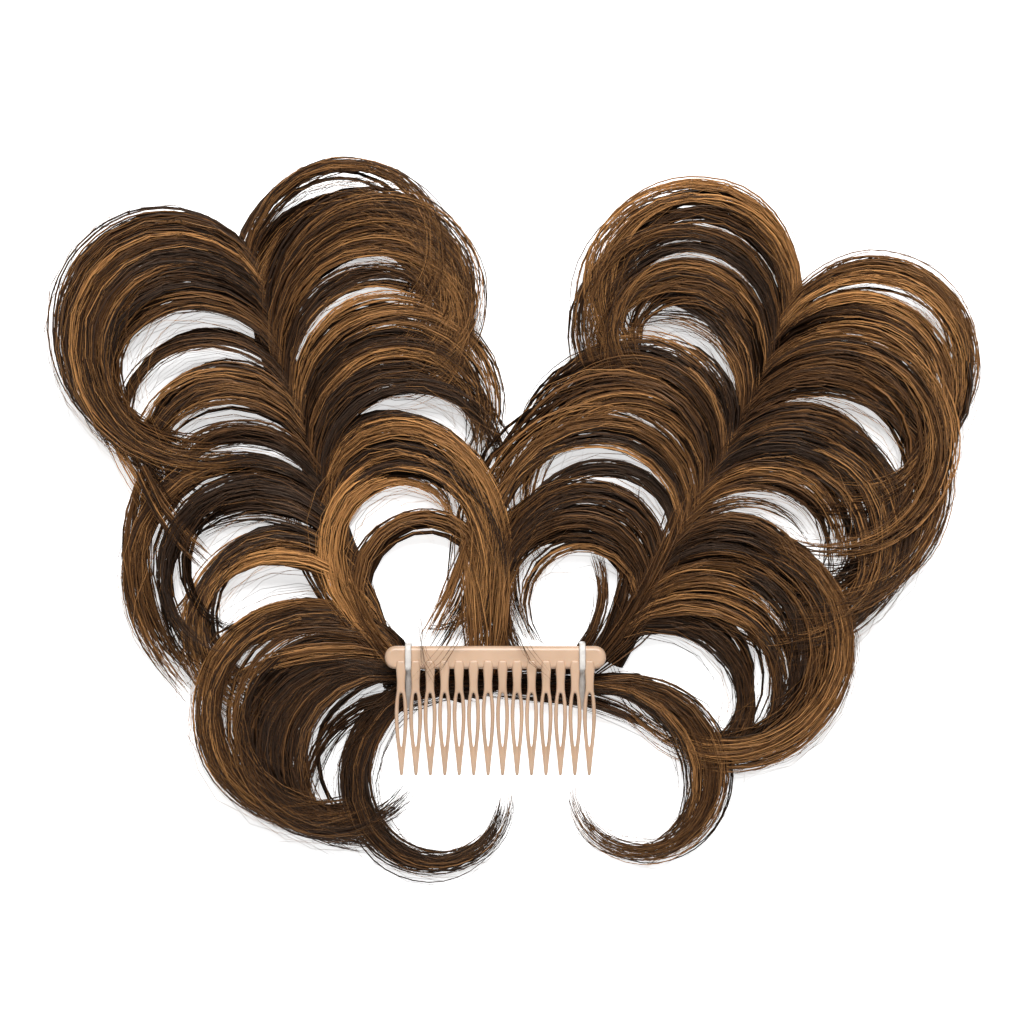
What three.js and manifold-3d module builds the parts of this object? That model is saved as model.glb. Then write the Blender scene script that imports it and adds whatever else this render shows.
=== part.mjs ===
// A comb-in hairpiece lying flat: two feathered wings of curled hair rise to the left and right
// of a moulded side comb, which two clear ties hold on the bundle where the wings meet.
// Millimetres, +X to the right, +Y up the wings, +Z up from the surface that it lies on.
import * as THREE from 'three';
import { mergeVertices } from 'three/addons/utils/BufferGeometryUtils.js';
import Module from 'manifold-3d';

// Comb sizes
const BAR = { x: -7.8, y: -47.9, length: 76, height: 7.9, thickness: 3.6, bevel: 0.9, corner: 2.4 };
const BAR_UNDERSIDE = 14.4;
const TINE_COUNT = 14;
const TINE_PITCH = 4.98;
const TINE_LENGTH = 37;
const TINE_THICKNESS = 2.2;
const TINE_TIP_THICKNESS = 1.1;
const TINE_DROP = 7;
const TINE_BEND_POWER = 1.5;
const TINE_OVERLAP = 2.9;
const TINE_RISE = 0.4;

// Half widths of a tine at distances from the bar, and of the slit through it
const TINE_OUTLINE = [
  { along: 0, half: 1.5 },
  { along: 5, half: 1.25 },
  { along: 11, half: 1.75 },
  { along: 16, half: 2.0 },
  { along: 22, half: 1.8 },
  { along: 28, half: 1.25 },
  { along: 35.5, half: 0.5 },
];
const TINE_SLIT = [
  { along: 9, half: 0.45 },
  { along: 13, half: 0.85 },
  { along: 18, half: 0.95 },
  { along: 24, half: 0.5 },
];
const SLIT_START = 8;
const SLIT_END = 28;

// Ties that loop round the bar and the bundle behind it
const TIE_X = { left: -37.7, right: 22.1 };
const TIE_WIDTH = 1.3;
const TIE_THICKNESS = 0.8;
const TIE_STEPS = 28;
const TIE_TENSION = 0.35;
const TIE_PATH = [
  { y: -43.0, z: 16.0 },
  { y: -44.4, z: 18.8 },
  { y: -51.4, z: 18.8 },
  { y: -52.9, z: 16.0 },
  { y: -58.5, z: 12.6 },
  { y: -65.5, z: 8.0 },
  { y: -62.5, z: 2.0 },
  { y: -54.5, z: 0.8 },
  { y: -46.5, z: 2.0 },
  { y: -43.2, z: 8.0 },
];

// Gap kept between neighbouring pieces
const GAP = 0.3;

// Hair: where the curls grow from, as runs that swing evenly from one heading to another
const LEFT_SPINE = { x: -46, y: -46, heading: 112, swing: -7, length: 153 };
const RIGHT_SPINE = { x: 36, y: -41, heading: 58, swing: 12, length: 148 };
const LEFT_BAND = { x: -9, y: -58, heading: 180, swing: -20, length: 44 };
const RIGHT_BAND = { x: -17, y: -58, heading: 0, swing: 0, length: 50 };
const SPINE_FORM = { back: 14, half: 8, endHalf: 5, depth: 5.5 };
const BAND_FORM = { back: 0, half: 11, endHalf: 10, depth: 7.3 };
const ROOT_HEIGHT = 8;

// Columns of the curl tables: root along the run, lean off the run, length, total turn,
// ease (bend at the tip over bend at the root), width, height of the crown and of the tip
const COLUMNS = ['root', 'lean', 'length', 'turn', 'ease', 'width', 'crown', 'tip'];
const LEFT_OUTER = [
  [140, 18, 178, 244, 0.55, 12, 20, 11],
  [131, 16, 160, 250, 0.65, 12, 22, 12],
  [121, 14, 136, 236, 0.95, 12, 20, 10],
  [110, 14, 104, 180, 1, 10, 17, 8],
  [86, 12, 93, 186, 1.2, 12, 16, 5],
  [69, 13, 74, 140, 1.1, 9, 16, 6],
  [52, 12, 146, 208, 0.9, 10, 11, 4],
  [46, 20, 130, 252, 1.05, 11, 16, 12],
  [38, 16, 72, 115, 1.2, 10, 15, 7],
  [27, 16, 138, 268, 1.1, 11, 15, 9],
  [7, 30, 162, 238, 1, 12, 13, 7],
  [3, 38, 138, 230, 1, 11, 12, 7],
  [0, 52, 70, 60, 1.2, 10, 12, 6],
];
const LEFT_INNER = [
  [146, 22, 122, 228, 1.2, 6, 19, 14],
  [118, 15, 157, 268, 1.9, 12, 20, 12],
  [110, 15, 136, 264, 1.85, 11, 19, 10],
  [97, 16, 100, 180, 1.5, 10, 18, 8],
  [84, 16, 122, 208, 1.2, 12, 17, 7],
  [70, 16, 95, 190, 1.3, 11, 16, 6],
  [57, 14, 130, 200, 0.05, 10, 15, 5],
  [47, 14, 120, 205, 0.1, 10, 14, 5],
  [0, -30, 112, 250, 4.5, 8, 12, 6],
  [0, -25, 112, 290, 2.2, 7, 10, 5],
];
const LEFT_LOWER = [
  [44, -3, 142, 266, 1, 11, 10, 7],
  [35, 3, 106, 200, 1.1, 12, 9, 5],
  [30, 42, 133, 250, 2.1, 10, 7, 4],
];
const RIGHT_INNER = [
  [135, 25, 136, 228, 1.15, 12, 20, 12],
  [120, 17, 136, 233, 1.15, 11, 19, 10],
  [104, 14, 124, 296, 2, 10, 18, 10],
  [71, 13, 112, 190, 1.1, 11, 15, 6],
  [60, 15, 112, 200, 0.85, 12, 16, 6],
  [46, 16, 118, 210, 0.5, 11, 15, 5],
  [33, 17, 114, 215, 0.5, 11, 14, 5],
  [19, 19, 108, 222, 0.6, 10, 13, 5],
  [12, 24, 92, 232, 0.9, 8, 11, 5],
];
const RIGHT_OUTER = [
  [126, 10, 124, 212, 1.15, 12, 20, 10],
  [113, 13, 140, 245, 1.1, 11, 19, 12],
  [101, 14, 162, 262, 0.95, 9, 19, 12],
  [93, 13, 94, 163, 1.15, 12, 17, 7],
  [78, 13, 80, 150, 1.15, 11, 16, 6],
  [65, 13, 77, 150, 1.15, 12, 15, 6],
  [53, 14, 72, 150, 1.2, 9, 15, 6],
  [35, 14, 66, 150, 1.2, 11, 14, 6],
  [18, 20, 58, 110, 1.2, 11, 12, 6],
  [8, 26, 70, 110, 1.2, 10, 11, 6],
  [80, 13, 166, 240, 0.9, 9, 13, 8],
  [28, 14, 166, 250, 0.95, 11, 11, 7],
  [20, 14, 130, 230, 1, 11, 10, 6],
  [12, 2, 160, 250, 0.95, 8, 7, 4],
];
const RIGHT_LOWER = [
  [44, -18, 142, 285, 1.7, 11, 8, 4],
  [44, -5, 84, 140, 1.3, 11, 8, 5],
];

// Form of every curl: ring spacing, share of the length where the crown lies, depth over width,
// then the share of its width at the root and tip and the shares of the length where it is full
const CURL_STEP = 15;
const CURL_LEAST_STEPS = 5;
const CROWN_AT = 0.38;
const DEPTH_SHARE = 0.72;
const SWELL = { root: 0.6, tip: 0.3, fullFrom: 0.25, fullTo: 0.65 };
const BUNDLE_STEPS = 8;

// Sections across a curl and across a bundle, in half widths and half depths
const RIDGED = [[0, 1], [-1, -0.1], [0, -0.9], [1, -0.1]];
const FULL = [[0.55, 1], [-0.55, 1], [-1, 0.4], [-1, -0.4], [-0.55, -1], [0.55, -1], [1, -0.4], [1, 0.4]];

// The parting between the wings, from the top to the bottom, and lengths well past the piece
const PARTING = [{ x: 16, y: 260 }, { x: -15.7, y: -75 }, { x: 5, y: -76 }, { x: 5, y: -260 }];
const FAR = 260;
const HIGH = 80;

const DEGREE = Math.PI / 180;
const smooth = (value) => THREE.MathUtils.smoothstep(value, 0, 1);
const mix = THREE.MathUtils.lerp;

// The plan of a curl: its bend changes evenly from root to tip
function curlPlan(start, heading, length, turn, ease, steps) {
  const firstBend = (2 * turn) / (1 + ease) / length;
  const bendGain = (firstBend * (ease - 1)) / length;
  const fine = 8;
  const step = length / (steps * fine);
  const points = [];
  let { x, y } = start;
  for (let i = 0; i <= steps * fine; i += 1) {
    const middle = (i + 0.5) * step;
    const along = i * step;
    const headingHere = heading + firstBend * along + 0.5 * bendGain * along * along;
    if (i % fine === 0) points.push({ x, y, heading: headingHere });
    const headingNext = heading + firstBend * middle + 0.5 * bendGain * middle * middle;
    x += step * Math.cos(headingNext * DEGREE);
    y += step * Math.sin(headingNext * DEGREE);
  }
  return points;
}

// A point of a run that curls grow from, with its heading there
function pointOnRun(run, along) {
  const swing = (run.swing * along) / run.length;
  return curlPlan(run, run.heading, Math.max(along, 0.001), swing, 1, 1)[1];
}

// The form of a curl: its plan, raised from the root over the crown and down to the tip
function swellAt(share) {
  const grown = smooth(share / SWELL.fullFrom);
  const thinned = smooth((share - SWELL.fullTo) / (1 - SWELL.fullTo));
  return mix(SWELL.root, 1, grown) * mix(1, SWELL.tip, thinned);
}

function curlRings(run, side, curl) {
  const start = pointOnRun(run, curl.root);
  const heading = start.heading + side * curl.lean;
  const steps = Math.max(CURL_LEAST_STEPS, Math.round(curl.length / CURL_STEP));
  const plan = curlPlan(start, heading, curl.length, side * curl.turn, curl.ease, steps);
  return plan.map((point, i) => {
    const share = i / steps;
    const climb = mix(ROOT_HEIGHT, curl.crown, smooth(share / CROWN_AT));
    const fall = mix(curl.crown, curl.tip, smooth((share - CROWN_AT) / (1 - CROWN_AT)));
    const half = 0.5 * curl.width * swellAt(share);
    const depth = DEPTH_SHARE * half;
    const height = share < CROWN_AT ? climb : fall;
    return { ...point, z: Math.max(height, depth), half, depth };
  });
}

// A closed body through rings that stand across a plan
function sweep(rings, section) {
  const sides = section.length;
  const positions = [];
  for (const ring of rings) {
    const acrossX = -Math.sin(ring.heading * DEGREE);
    const acrossY = Math.cos(ring.heading * DEGREE);
    for (const [a, b] of section) {
      const offset = a * ring.half;
      positions.push(ring.x + acrossX * offset, ring.y + acrossY * offset, ring.z + b * ring.depth);
    }
  }
  const index = [];
  for (let i = 0; i + 1 < rings.length; i += 1) {
    for (let j = 0; j < sides; j += 1) {
      const here = i * sides + j;
      const beside = i * sides + ((j + 1) % sides);
      index.push(here, beside, here + sides, beside, beside + sides, here + sides);
    }
  }
  const last = (rings.length - 1) * sides;
  for (let j = 1; j + 1 < sides; j += 1) {
    index.push(0, j + 1, j);
    index.push(last, last + j, last + j + 1);
  }
  const geometry = new THREE.BufferGeometry();
  geometry.setAttribute('position', new THREE.Float32BufferAttribute(positions, 3));
  geometry.setIndex(index);
  return geometry;
}

// The bundle along a run, which its curls grow out of; it starts a little behind the run
function bundle(run, { back, half, endHalf, depth }) {
  const start = {
    x: run.x - back * Math.cos(run.heading * DEGREE),
    y: run.y - back * Math.sin(run.heading * DEGREE),
  };
  const plan = curlPlan(start, run.heading, run.length + back, run.swing, 1, BUNDLE_STEPS);
  const rings = plan.map((point, i) => {
    const halfHere = mix(half, endHalf, i / BUNDLE_STEPS);
    return { ...point, z: depth, half: halfHere, depth };
  });
  return sweep(rings, FULL);
}

// Solids that can be joined and cut
const wasm = await Module();
wasm.setup();

function solid(geometry) {
  const bare = geometry.clone();
  bare.deleteAttribute('normal');
  bare.deleteAttribute('uv');
  const merged = mergeVertices(bare, 1e-4);
  return new wasm.Manifold(new wasm.Mesh({
    numProp: 3,
    vertProperties: new Float32Array(merged.attributes.position.array),
    triVerts: new Uint32Array(merged.index.array),
  }));
}

function joined(geometries) {
  return geometries.map(solid).reduce((whole, part) => whole.add(part));
}

// The triangles of a solid in groups that hang together, the largest group first
function shells(mesh) {
  const parent = Array.from({ length: mesh.vertProperties.length / 3 }, (_, i) => i);
  const rootOf = (i) => {
    let root = i;
    while (parent[root] !== root) root = parent[root];
    parent[i] = root;
    return root;
  };
  for (let i = 0; i < mesh.triVerts.length; i += 3) {
    parent[rootOf(mesh.triVerts[i + 1])] = rootOf(mesh.triVerts[i]);
    parent[rootOf(mesh.triVerts[i + 2])] = rootOf(mesh.triVerts[i]);
  }
  const groups = new Map();
  for (let i = 0; i < mesh.triVerts.length; i += 3) {
    const root = rootOf(mesh.triVerts[i]);
    if (!groups.has(root)) groups.set(root, []);
    groups.get(root).push(...mesh.triVerts.slice(i, i + 3));
  }
  return [...groups.values()].sort((a, b) => b.length - a.length);
}

// The main body of a solid as geometry, without the small pockets sealed inside it
function mainBody(manifold) {
  const mesh = manifold.getMesh();
  const geometry = new THREE.BufferGeometry();
  geometry.setAttribute('position', new THREE.BufferAttribute(mesh.vertProperties.slice(), 3));
  geometry.setIndex(shells(mesh)[0]);
  const flat = geometry.toNonIndexed();
  flat.computeVertexNormals();
  return flat;
}

// Comb: a bevelled bar and its tines, each bent down from the bar and split by a slit
const BAR_TOP = BAR_UNDERSIDE + BAR.thickness;
const BAR_FOOT = BAR.y - BAR.height / 2;

function tineTop(along) {
  const share = Math.max(along, 0) / TINE_LENGTH;
  return BAR_TOP + TINE_RISE - TINE_DROP * share ** TINE_BEND_POWER;
}

function tineThickness(along) {
  return mix(TINE_THICKNESS, TINE_TIP_THICKNESS, Math.max(along, 0) / TINE_LENGTH);
}

function barGeometry() {
  const shape = new THREE.Shape();
  const right = BAR.length / 2 - BAR.bevel;
  const top = BAR.height / 2 - BAR.bevel;
  const { corner } = BAR;
  shape.moveTo(right - corner, -top);
  shape.quadraticCurveTo(right, -top, right, corner - top);
  shape.lineTo(right, top - corner);
  shape.quadraticCurveTo(right, top, right - corner, top);
  shape.lineTo(corner - right, top);
  shape.quadraticCurveTo(-right, top, -right, top - corner);
  shape.lineTo(-right, corner - top);
  shape.quadraticCurveTo(-right, -top, corner - right, -top);
  const geometry = new THREE.ExtrudeGeometry(shape, {
    depth: BAR.thickness - 2 * BAR.bevel,
    bevelThickness: BAR.bevel,
    bevelSize: BAR.bevel,
    bevelSegments: 1,
    curveSegments: 3,
  });
  return geometry.translate(BAR.x, BAR.y, BAR_UNDERSIDE + BAR.bevel);
}

function tineGeometry(x) {
  const shape = new THREE.Shape();
  const rows = [{ along: -TINE_OVERLAP, half: TINE_OUTLINE[0].half }, ...TINE_OUTLINE];
  shape.moveTo(-rows[0].half, TINE_OVERLAP);
  for (const row of rows.slice(1)) shape.lineTo(-row.half, -row.along);
  shape.lineTo(0, -TINE_LENGTH);
  for (const row of rows.slice().reverse()) shape.lineTo(row.half, -row.along);
  const slit = new THREE.Path();
  slit.moveTo(0, -SLIT_START);
  for (const row of TINE_SLIT) slit.lineTo(row.half, -row.along);
  slit.lineTo(0, -SLIT_END);
  for (const row of TINE_SLIT.slice().reverse()) slit.lineTo(-row.half, -row.along);
  shape.holes.push(slit);
  const geometry = new THREE.ExtrudeGeometry(shape, { depth: 1, bevelEnabled: false });
  const position = geometry.attributes.position;
  for (let i = 0; i < position.count; i += 1) {
    const along = -position.getY(i);
    const down = (1 - position.getZ(i)) * tineThickness(along);
    position.setXYZ(i, x + position.getX(i), BAR_FOOT - along, tineTop(along) - down);
  }
  return geometry;
}

function combSolid() {
  const parts = [barGeometry()];
  for (let i = 0; i < TINE_COUNT; i += 1) {
    parts.push(tineGeometry(BAR.x + (i - (TINE_COUNT - 1) / 2) * TINE_PITCH));
  }
  return joined(parts);
}

// A tie: a flat strap in a closed loop over the bar, between two tines and round the bundle
function tieGeometry(x, width, thickness) {
  const stops = TIE_PATH.map(({ y, z }) => new THREE.Vector3(0, y, z));
  const loop = new THREE.CatmullRomCurve3(stops, true, 'catmullrom', TIE_TENSION);
  const corners = [[1, 1], [-1, 1], [-1, -1], [1, -1]];
  const positions = [];
  const index = [];
  for (let i = 0; i < TIE_STEPS; i += 1) {
    const point = loop.getPoint(i / TIE_STEPS);
    const tangent = loop.getTangent(i / TIE_STEPS);
    for (const [across, out] of corners) {
      const lift = 0.5 * thickness * out;
      positions.push(x + 0.5 * width * across, point.y - lift * tangent.z, point.z + lift * tangent.y);
    }
    for (let j = 0; j < corners.length; j += 1) {
      const here = i * corners.length + j;
      const beside = i * corners.length + ((j + 1) % corners.length);
      const next = (here + corners.length) % (TIE_STEPS * corners.length);
      const nextBeside = (beside + corners.length) % (TIE_STEPS * corners.length);
      index.push(here, next, beside, beside, next, nextBeside);
    }
  }
  const geometry = new THREE.BufferGeometry();
  geometry.setAttribute('position', new THREE.Float32BufferAttribute(positions, 3));
  geometry.setIndex(index);
  return geometry;
}

// Room that the hair leaves for its neighbours: everything on one side of the parting between the wings
function sideOfParting(side) {
  const edge = PARTING.map(({ x, y }) => new THREE.Vector2(x - 0.5 * side * GAP, y));
  const outer = [new THREE.Vector2(side * FAR, -FAR), new THREE.Vector2(side * FAR, FAR)];
  const shape = new THREE.Shape([...edge, ...outer]);
  const block = new THREE.ExtrudeGeometry(shape, { depth: 2 * HIGH, bevelEnabled: false });
  return solid(block.translate(0, 0, -HIGH));
}

// Room for the comb: everything above its underside
function combRoom() {
  const stops = [3, 9, 15, 21, 27, 33, TINE_LENGTH + GAP];
  const shape = new THREE.Shape();
  shape.moveTo(BAR_FOOT + BAR.height + GAP, HIGH);
  shape.lineTo(BAR_FOOT + BAR.height + GAP, BAR_UNDERSIDE - GAP);
  shape.lineTo(BAR_FOOT - GAP, BAR_UNDERSIDE - GAP);
  for (const along of stops) {
    shape.lineTo(BAR_FOOT - along, tineTop(along) - tineThickness(along) - GAP);
  }
  shape.lineTo(BAR_FOOT - TINE_LENGTH - GAP, HIGH);
  const length = BAR.length + 2 * GAP;
  const block = new THREE.ExtrudeGeometry(shape, { depth: length, bevelEnabled: false });
  const axes = new THREE.Matrix4().makeBasis(
    new THREE.Vector3(0, 1, 0), new THREE.Vector3(0, 0, 1), new THREE.Vector3(1, 0, 0));
  return solid(block.applyMatrix4(axes).translate(BAR.x - length / 2, 0, 0));
}

// The curls of a table, which all turn to one side of their run
function curls(run, side, table) {
  return table.map((row) => {
    const curl = Object.fromEntries(COLUMNS.map((name, i) => [name, row[i]]));
    return sweep(curlRings(run, side, curl), RIDGED);
  });
}

// One wing: bundle, band and curls in one body, cut clear of its neighbours
function wing(spine, band, groups, otherSide, tieX) {
  const hair = joined([
    bundle(spine, SPINE_FORM),
    bundle(band, BAND_FORM),
    ...groups.flatMap(({ run, side, table }) => curls(run, side, table)),
  ]);
  const tieRoom = solid(tieGeometry(tieX, TIE_WIDTH + 2 * GAP, TIE_THICKNESS + 2 * GAP));
  return hair.subtract(sideOfParting(otherSide)).subtract(combRoom()).subtract(tieRoom);
}

const leftWing = wing(LEFT_SPINE, LEFT_BAND, [
  { run: LEFT_SPINE, side: 1, table: LEFT_OUTER },
  { run: LEFT_SPINE, side: -1, table: LEFT_INNER },
  { run: LEFT_BAND, side: 1, table: LEFT_LOWER },
], 1, TIE_X.left);
const rightWing = wing(RIGHT_SPINE, RIGHT_BAND, [
  { run: RIGHT_SPINE, side: 1, table: RIGHT_INNER },
  { run: RIGHT_SPINE, side: -1, table: RIGHT_OUTER },
  { run: RIGHT_BAND, side: -1, table: RIGHT_LOWER },
], -1, TIE_X.right);

// Materials and named pieces
const hairMaterial = new THREE.MeshStandardMaterial({ color: 0x4a3323, roughness: 0.45, metalness: 0 });
const combMaterial = new THREE.MeshStandardMaterial({ color: 0xf0cdaa, roughness: 0.35, metalness: 0 });
const tieMaterial = new THREE.MeshStandardMaterial({ color: 0xf2f0ee, roughness: 0.3, metalness: 0 });

const group = new THREE.Group();

function place(name, geometry, material) {
  const mesh = new THREE.Mesh(geometry, material);
  mesh.name = name;
  group.add(mesh);
}

place('comb', mainBody(combSolid()), combMaterial);
place('comb_tie_left', tieGeometry(TIE_X.left, TIE_WIDTH, TIE_THICKNESS).toNonIndexed(), tieMaterial);
place('comb_tie_right', tieGeometry(TIE_X.right, TIE_WIDTH, TIE_THICKNESS).toNonIndexed(), tieMaterial);
place('left_curls', mainBody(leftWing), hairMaterial);
place('right_curls', mainBody(rightWing), hairMaterial);

export default group;
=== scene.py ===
"""Looks of a comb-in hairpiece: two wings of curled hair, a moulded side comb and its ties."""
import math
import random

import bpy
import numpy as np
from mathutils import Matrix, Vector


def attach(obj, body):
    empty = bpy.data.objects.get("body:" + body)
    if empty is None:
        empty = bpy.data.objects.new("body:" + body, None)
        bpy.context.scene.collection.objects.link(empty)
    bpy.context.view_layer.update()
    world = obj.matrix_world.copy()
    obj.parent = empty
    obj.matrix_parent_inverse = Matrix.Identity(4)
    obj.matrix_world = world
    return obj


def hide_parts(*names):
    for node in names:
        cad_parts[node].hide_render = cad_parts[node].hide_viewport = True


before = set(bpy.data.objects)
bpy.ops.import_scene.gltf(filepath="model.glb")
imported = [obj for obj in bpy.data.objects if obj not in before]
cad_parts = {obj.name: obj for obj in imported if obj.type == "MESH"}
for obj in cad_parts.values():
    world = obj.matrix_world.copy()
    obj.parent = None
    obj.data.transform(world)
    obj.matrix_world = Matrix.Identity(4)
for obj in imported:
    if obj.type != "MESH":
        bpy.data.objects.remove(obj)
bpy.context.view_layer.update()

MM = 0.001

# Photograph: its side and the place of the part's origin in pixels, millimetres per pixel, camera
PHOTO_SIDE = 1024
PHOTO_SCALE = 0.3445
ORIGIN_PIXEL = 518
CAMERA_HEIGHT = 1.5
HAIR_LEVEL = 12
SENSOR = 36
CLIP_END = 20

# Comb, in millimetres as in the part's source
BAR = {"x": -7.8, "y": -47.9, "length": 76, "height": 7.9, "thickness": 3.6}
BAR_UNDERSIDE = 14.4
BAR_TOP = BAR_UNDERSIDE + BAR["thickness"]
BAR_FOOT = BAR["y"] - BAR["height"] / 2
BAR_CORNER = 3.7
BAR_CORNER_STEPS = 6
BAR_ROUNDING = 1.5
BAR_FLAT_INSET = 1.2
BAR_EDGE_STEPS = 4
TINE_COUNT = 14
TINE_PITCH = 4.98
TINE_LENGTH = 37
TINE_THICKNESS = 2.2
TINE_TIP_THICKNESS = 1.1
TINE_DROP = 7
TINE_BEND_POWER = 1.5
TINE_RISE = 0.5

# Half widths of a tine and of its slit at distances from the bar's foot
TINE_STATIONS = [
    (-3.1, 1.2, 0.5),
    (-2.2, 1.8, 0.5),
    (0, 1.85, 0.45),
    (4, 1.45, 0.35),
    (7.2, 1.5, 0.3),
    (8.2, 1.64, 0.42),
    (11, 2.1, 0.66),
    (15, 2.36, 0.84),
    (19, 2.28, 0.8),
    (23, 1.98, 0.55),
    (27, 1.56, 0.22),
    (28.6, 1.4, 0.2),
    (32, 0.98, 0.25),
    (35.8, 0.68, 0.2),
    (36.9, 0.42, 0.14),
]
SLIT_ROWS = range(5, 10)
SLIT_COLUMN = 1
TINE_COLUMNS = 3
TINE_SMOOTHING = 2
DIMPLE_ROWS = (10, 11)
DIMPLE_DEPTH = 0.9

# Ties round the bar and the bundle, as stops in the YZ plane
TIE_X = {"left": -37.7, "right": 22.1}
TIE_WIDTH = 2.1
TIE_THICKNESS = 0.7
TIE_STEPS = 90
TIE_EDGE_POINTS = 10
TIE_STOPS = [
    (-43.0, 16.0), (-44.4, 18.8), (-51.4, 18.8), (-52.9, 16.0), (-58.5, 12.6),
    (-65.5, 8.0), (-62.5, 2.0), (-54.5, 0.8), (-46.5, 2.0), (-43.2, 8.0),
]

# Runs that the curls grow from, which swing evenly from one heading to another
LEFT_SPINE = {"x": -46, "y": -46, "heading": 112, "swing": -7, "length": 153}
RIGHT_SPINE = {"x": 36, "y": -41, "heading": 58, "swing": 12, "length": 148}
LEFT_BAND = {"x": -9, "y": -58, "heading": 180, "swing": -20, "length": 44}
RIGHT_BAND = {"x": -17, "y": -58, "heading": 0, "swing": 0, "length": 50}
ROOT_HEIGHT = 8
CROWN_AT = 0.38
DEPTH_SHARE = 0.72

# Columns: root along the run, lean off it, length, total turn, ease (bend at the tip over bend at
# the root), width, height of crown and tip, tone from dark brown to golden, cool grey share
CURL_COLUMNS = ("root", "lean", "length", "turn", "ease", "width", "crown", "tip", "tone", "cool")
LEFT_CROWN = [
    (140, 18, 178, 244, 0.55, 11, 19, 11, 0.5, 0.1),
    (135, 17, 168, 248, 0.6, 10, 21, 12, 0.45, 0.1),
    (130, 16, 158, 250, 0.65, 11, 21, 12, 0.4, 0.2),
    (121, 14, 136, 236, 0.95, 11, 19, 10, 0.35, 0.2),
    (110, 14, 104, 180, 1, 9, 17, 8, 0.3, 0.3),
    (124, 14, 155, 200, 0.1, 4, 16, 9, 0.65, 0),
    (98, 15, 92, 168, 1.1, 6, 16, 6, 0.2, 0.6),
    (86, 12, 93, 186, 1.2, 10, 16, 5, 0.35, 0.3),
    (79, 12, 78, 158, 1.2, 9, 16, 5, 0.3, 0.4),
    (69, 13, 74, 140, 1.1, 8, 16, 6, 0.25, 0.5),
]
LEFT_SIDE = [
    (52, 12, 149, 208, 0.9, 10, 11, 4, 0.6, 0.1),
    (50, 14, 136, 215, 0.95, 8, 11, 4, 0.55, 0.1),
    (57, 14, 68, 110, 1.1, 6, 15, 7, 0.3, 0.4),
    (48, 15, 118, 224, 1.35, 7, 16, 18, 0.2, 0.3),
    (38, 16, 72, 115, 1.2, 10, 15, 7, 0.3, 0.5),
    (30, 15, 112, 222, 1.1, 6, 15, 10, 0.3, 0.5),
    (26, 14, 126, 234, 1.05, 10, 14, 9, 0.6, 0.1),
    (22, 18, 80, 130, 1.1, 5, 15, 6, 0.75, 0),
    (7, 30, 165, 237, 1, 11, 13, 7, 0.5, 0),
    (6, 32, 158, 236, 1, 11, 12, 7, 0.45, 0.1),
    (5, 34, 150, 234, 1, 10, 12, 7, 0.4, 0.1),
    (4, 36, 140, 232, 1, 10, 12, 7, 0.4, 0.1),
    (0, 52, 70, 60, 1.2, 9, 12, 6, 0.3, 0.2),
]
LEFT_INNER = [
    (152, 42, 122, 212, 1.9, 5, 20, 17, 0.35, 0.2),
    (146, 32, 114, 205, 1.75, 8, 21, 18, 0.4, 0.1),
    (138, 36, 125, 238, 1.8, 7, 19, 13, 0.35, 0.2),
    (132, 32, 132, 250, 1.9, 8, 18, 12, 0.4, 0.2),
    (118, 15, 157, 268, 1.9, 10, 20, 12, 0.4, 0.2),
    (112, 15, 146, 268, 1.9, 10, 19, 11, 0.35, 0.2),
    (108, 16, 128, 260, 1.8, 8, 19, 10, 0.45, 0.1),
    (97, 16, 100, 180, 1.5, 9, 18, 8, 0.5, 0.1),
    (85, 16, 125, 210, 1.2, 10, 17, 7, 0.4, 0.3),
    (78, 16, 105, 200, 1.3, 9, 17, 7, 0.5, 0.1),
    (70, 16, 95, 190, 1.3, 9, 16, 6, 0.45, 0.2),
    (62, 18, 100, 190, 1.2, 9, 16, 6, 0.4, 0.2),
    (60, 14, 132, 202, 0.2, 7, 15, 5, 0.45, 0.1),
    (57, 14, 137, 204, 0.05, 10, 15, 5, 0.5, 0.1),
    (47, 14, 126, 208, 0.1, 10, 14, 5, 0.55, 0.1),
    (0, -30, 112, 250, 4.5, 8, 12, 6, 0.75, 0),
    (0, -25, 122, 300, 2.0, 6, 10, 6, 0.7, 0),
]
LEFT_LOWER = [
    (44, -3, 142, 266, 1, 10, 10, 7, 0.15, 0.4),
    (41, -2, 128, 240, 1.05, 10, 9, 6, 0.12, 0.4),
    (38, 0, 114, 214, 1.1, 10, 8, 5, 0.1, 0.5),
    (35, 3, 106, 200, 1.1, 10, 8, 5, 0.1, 0.4),
    (32, 6, 98, 185, 1.1, 10, 8, 5, 0.1, 0.4),
    (30, 32, 106, 200, 1.8, 5, 6, 4, 0.15, 0.3),
    (20, 28, 131, 252, 2.1, 9, 7, 4, 0.1, 0.3),
    (18, 29, 129, 252, 2.1, 9, 7, 4, 0.12, 0.3),
    (17, 31, 126, 250, 2.1, 8, 7, 4, 0.15, 0.2),
]
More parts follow.
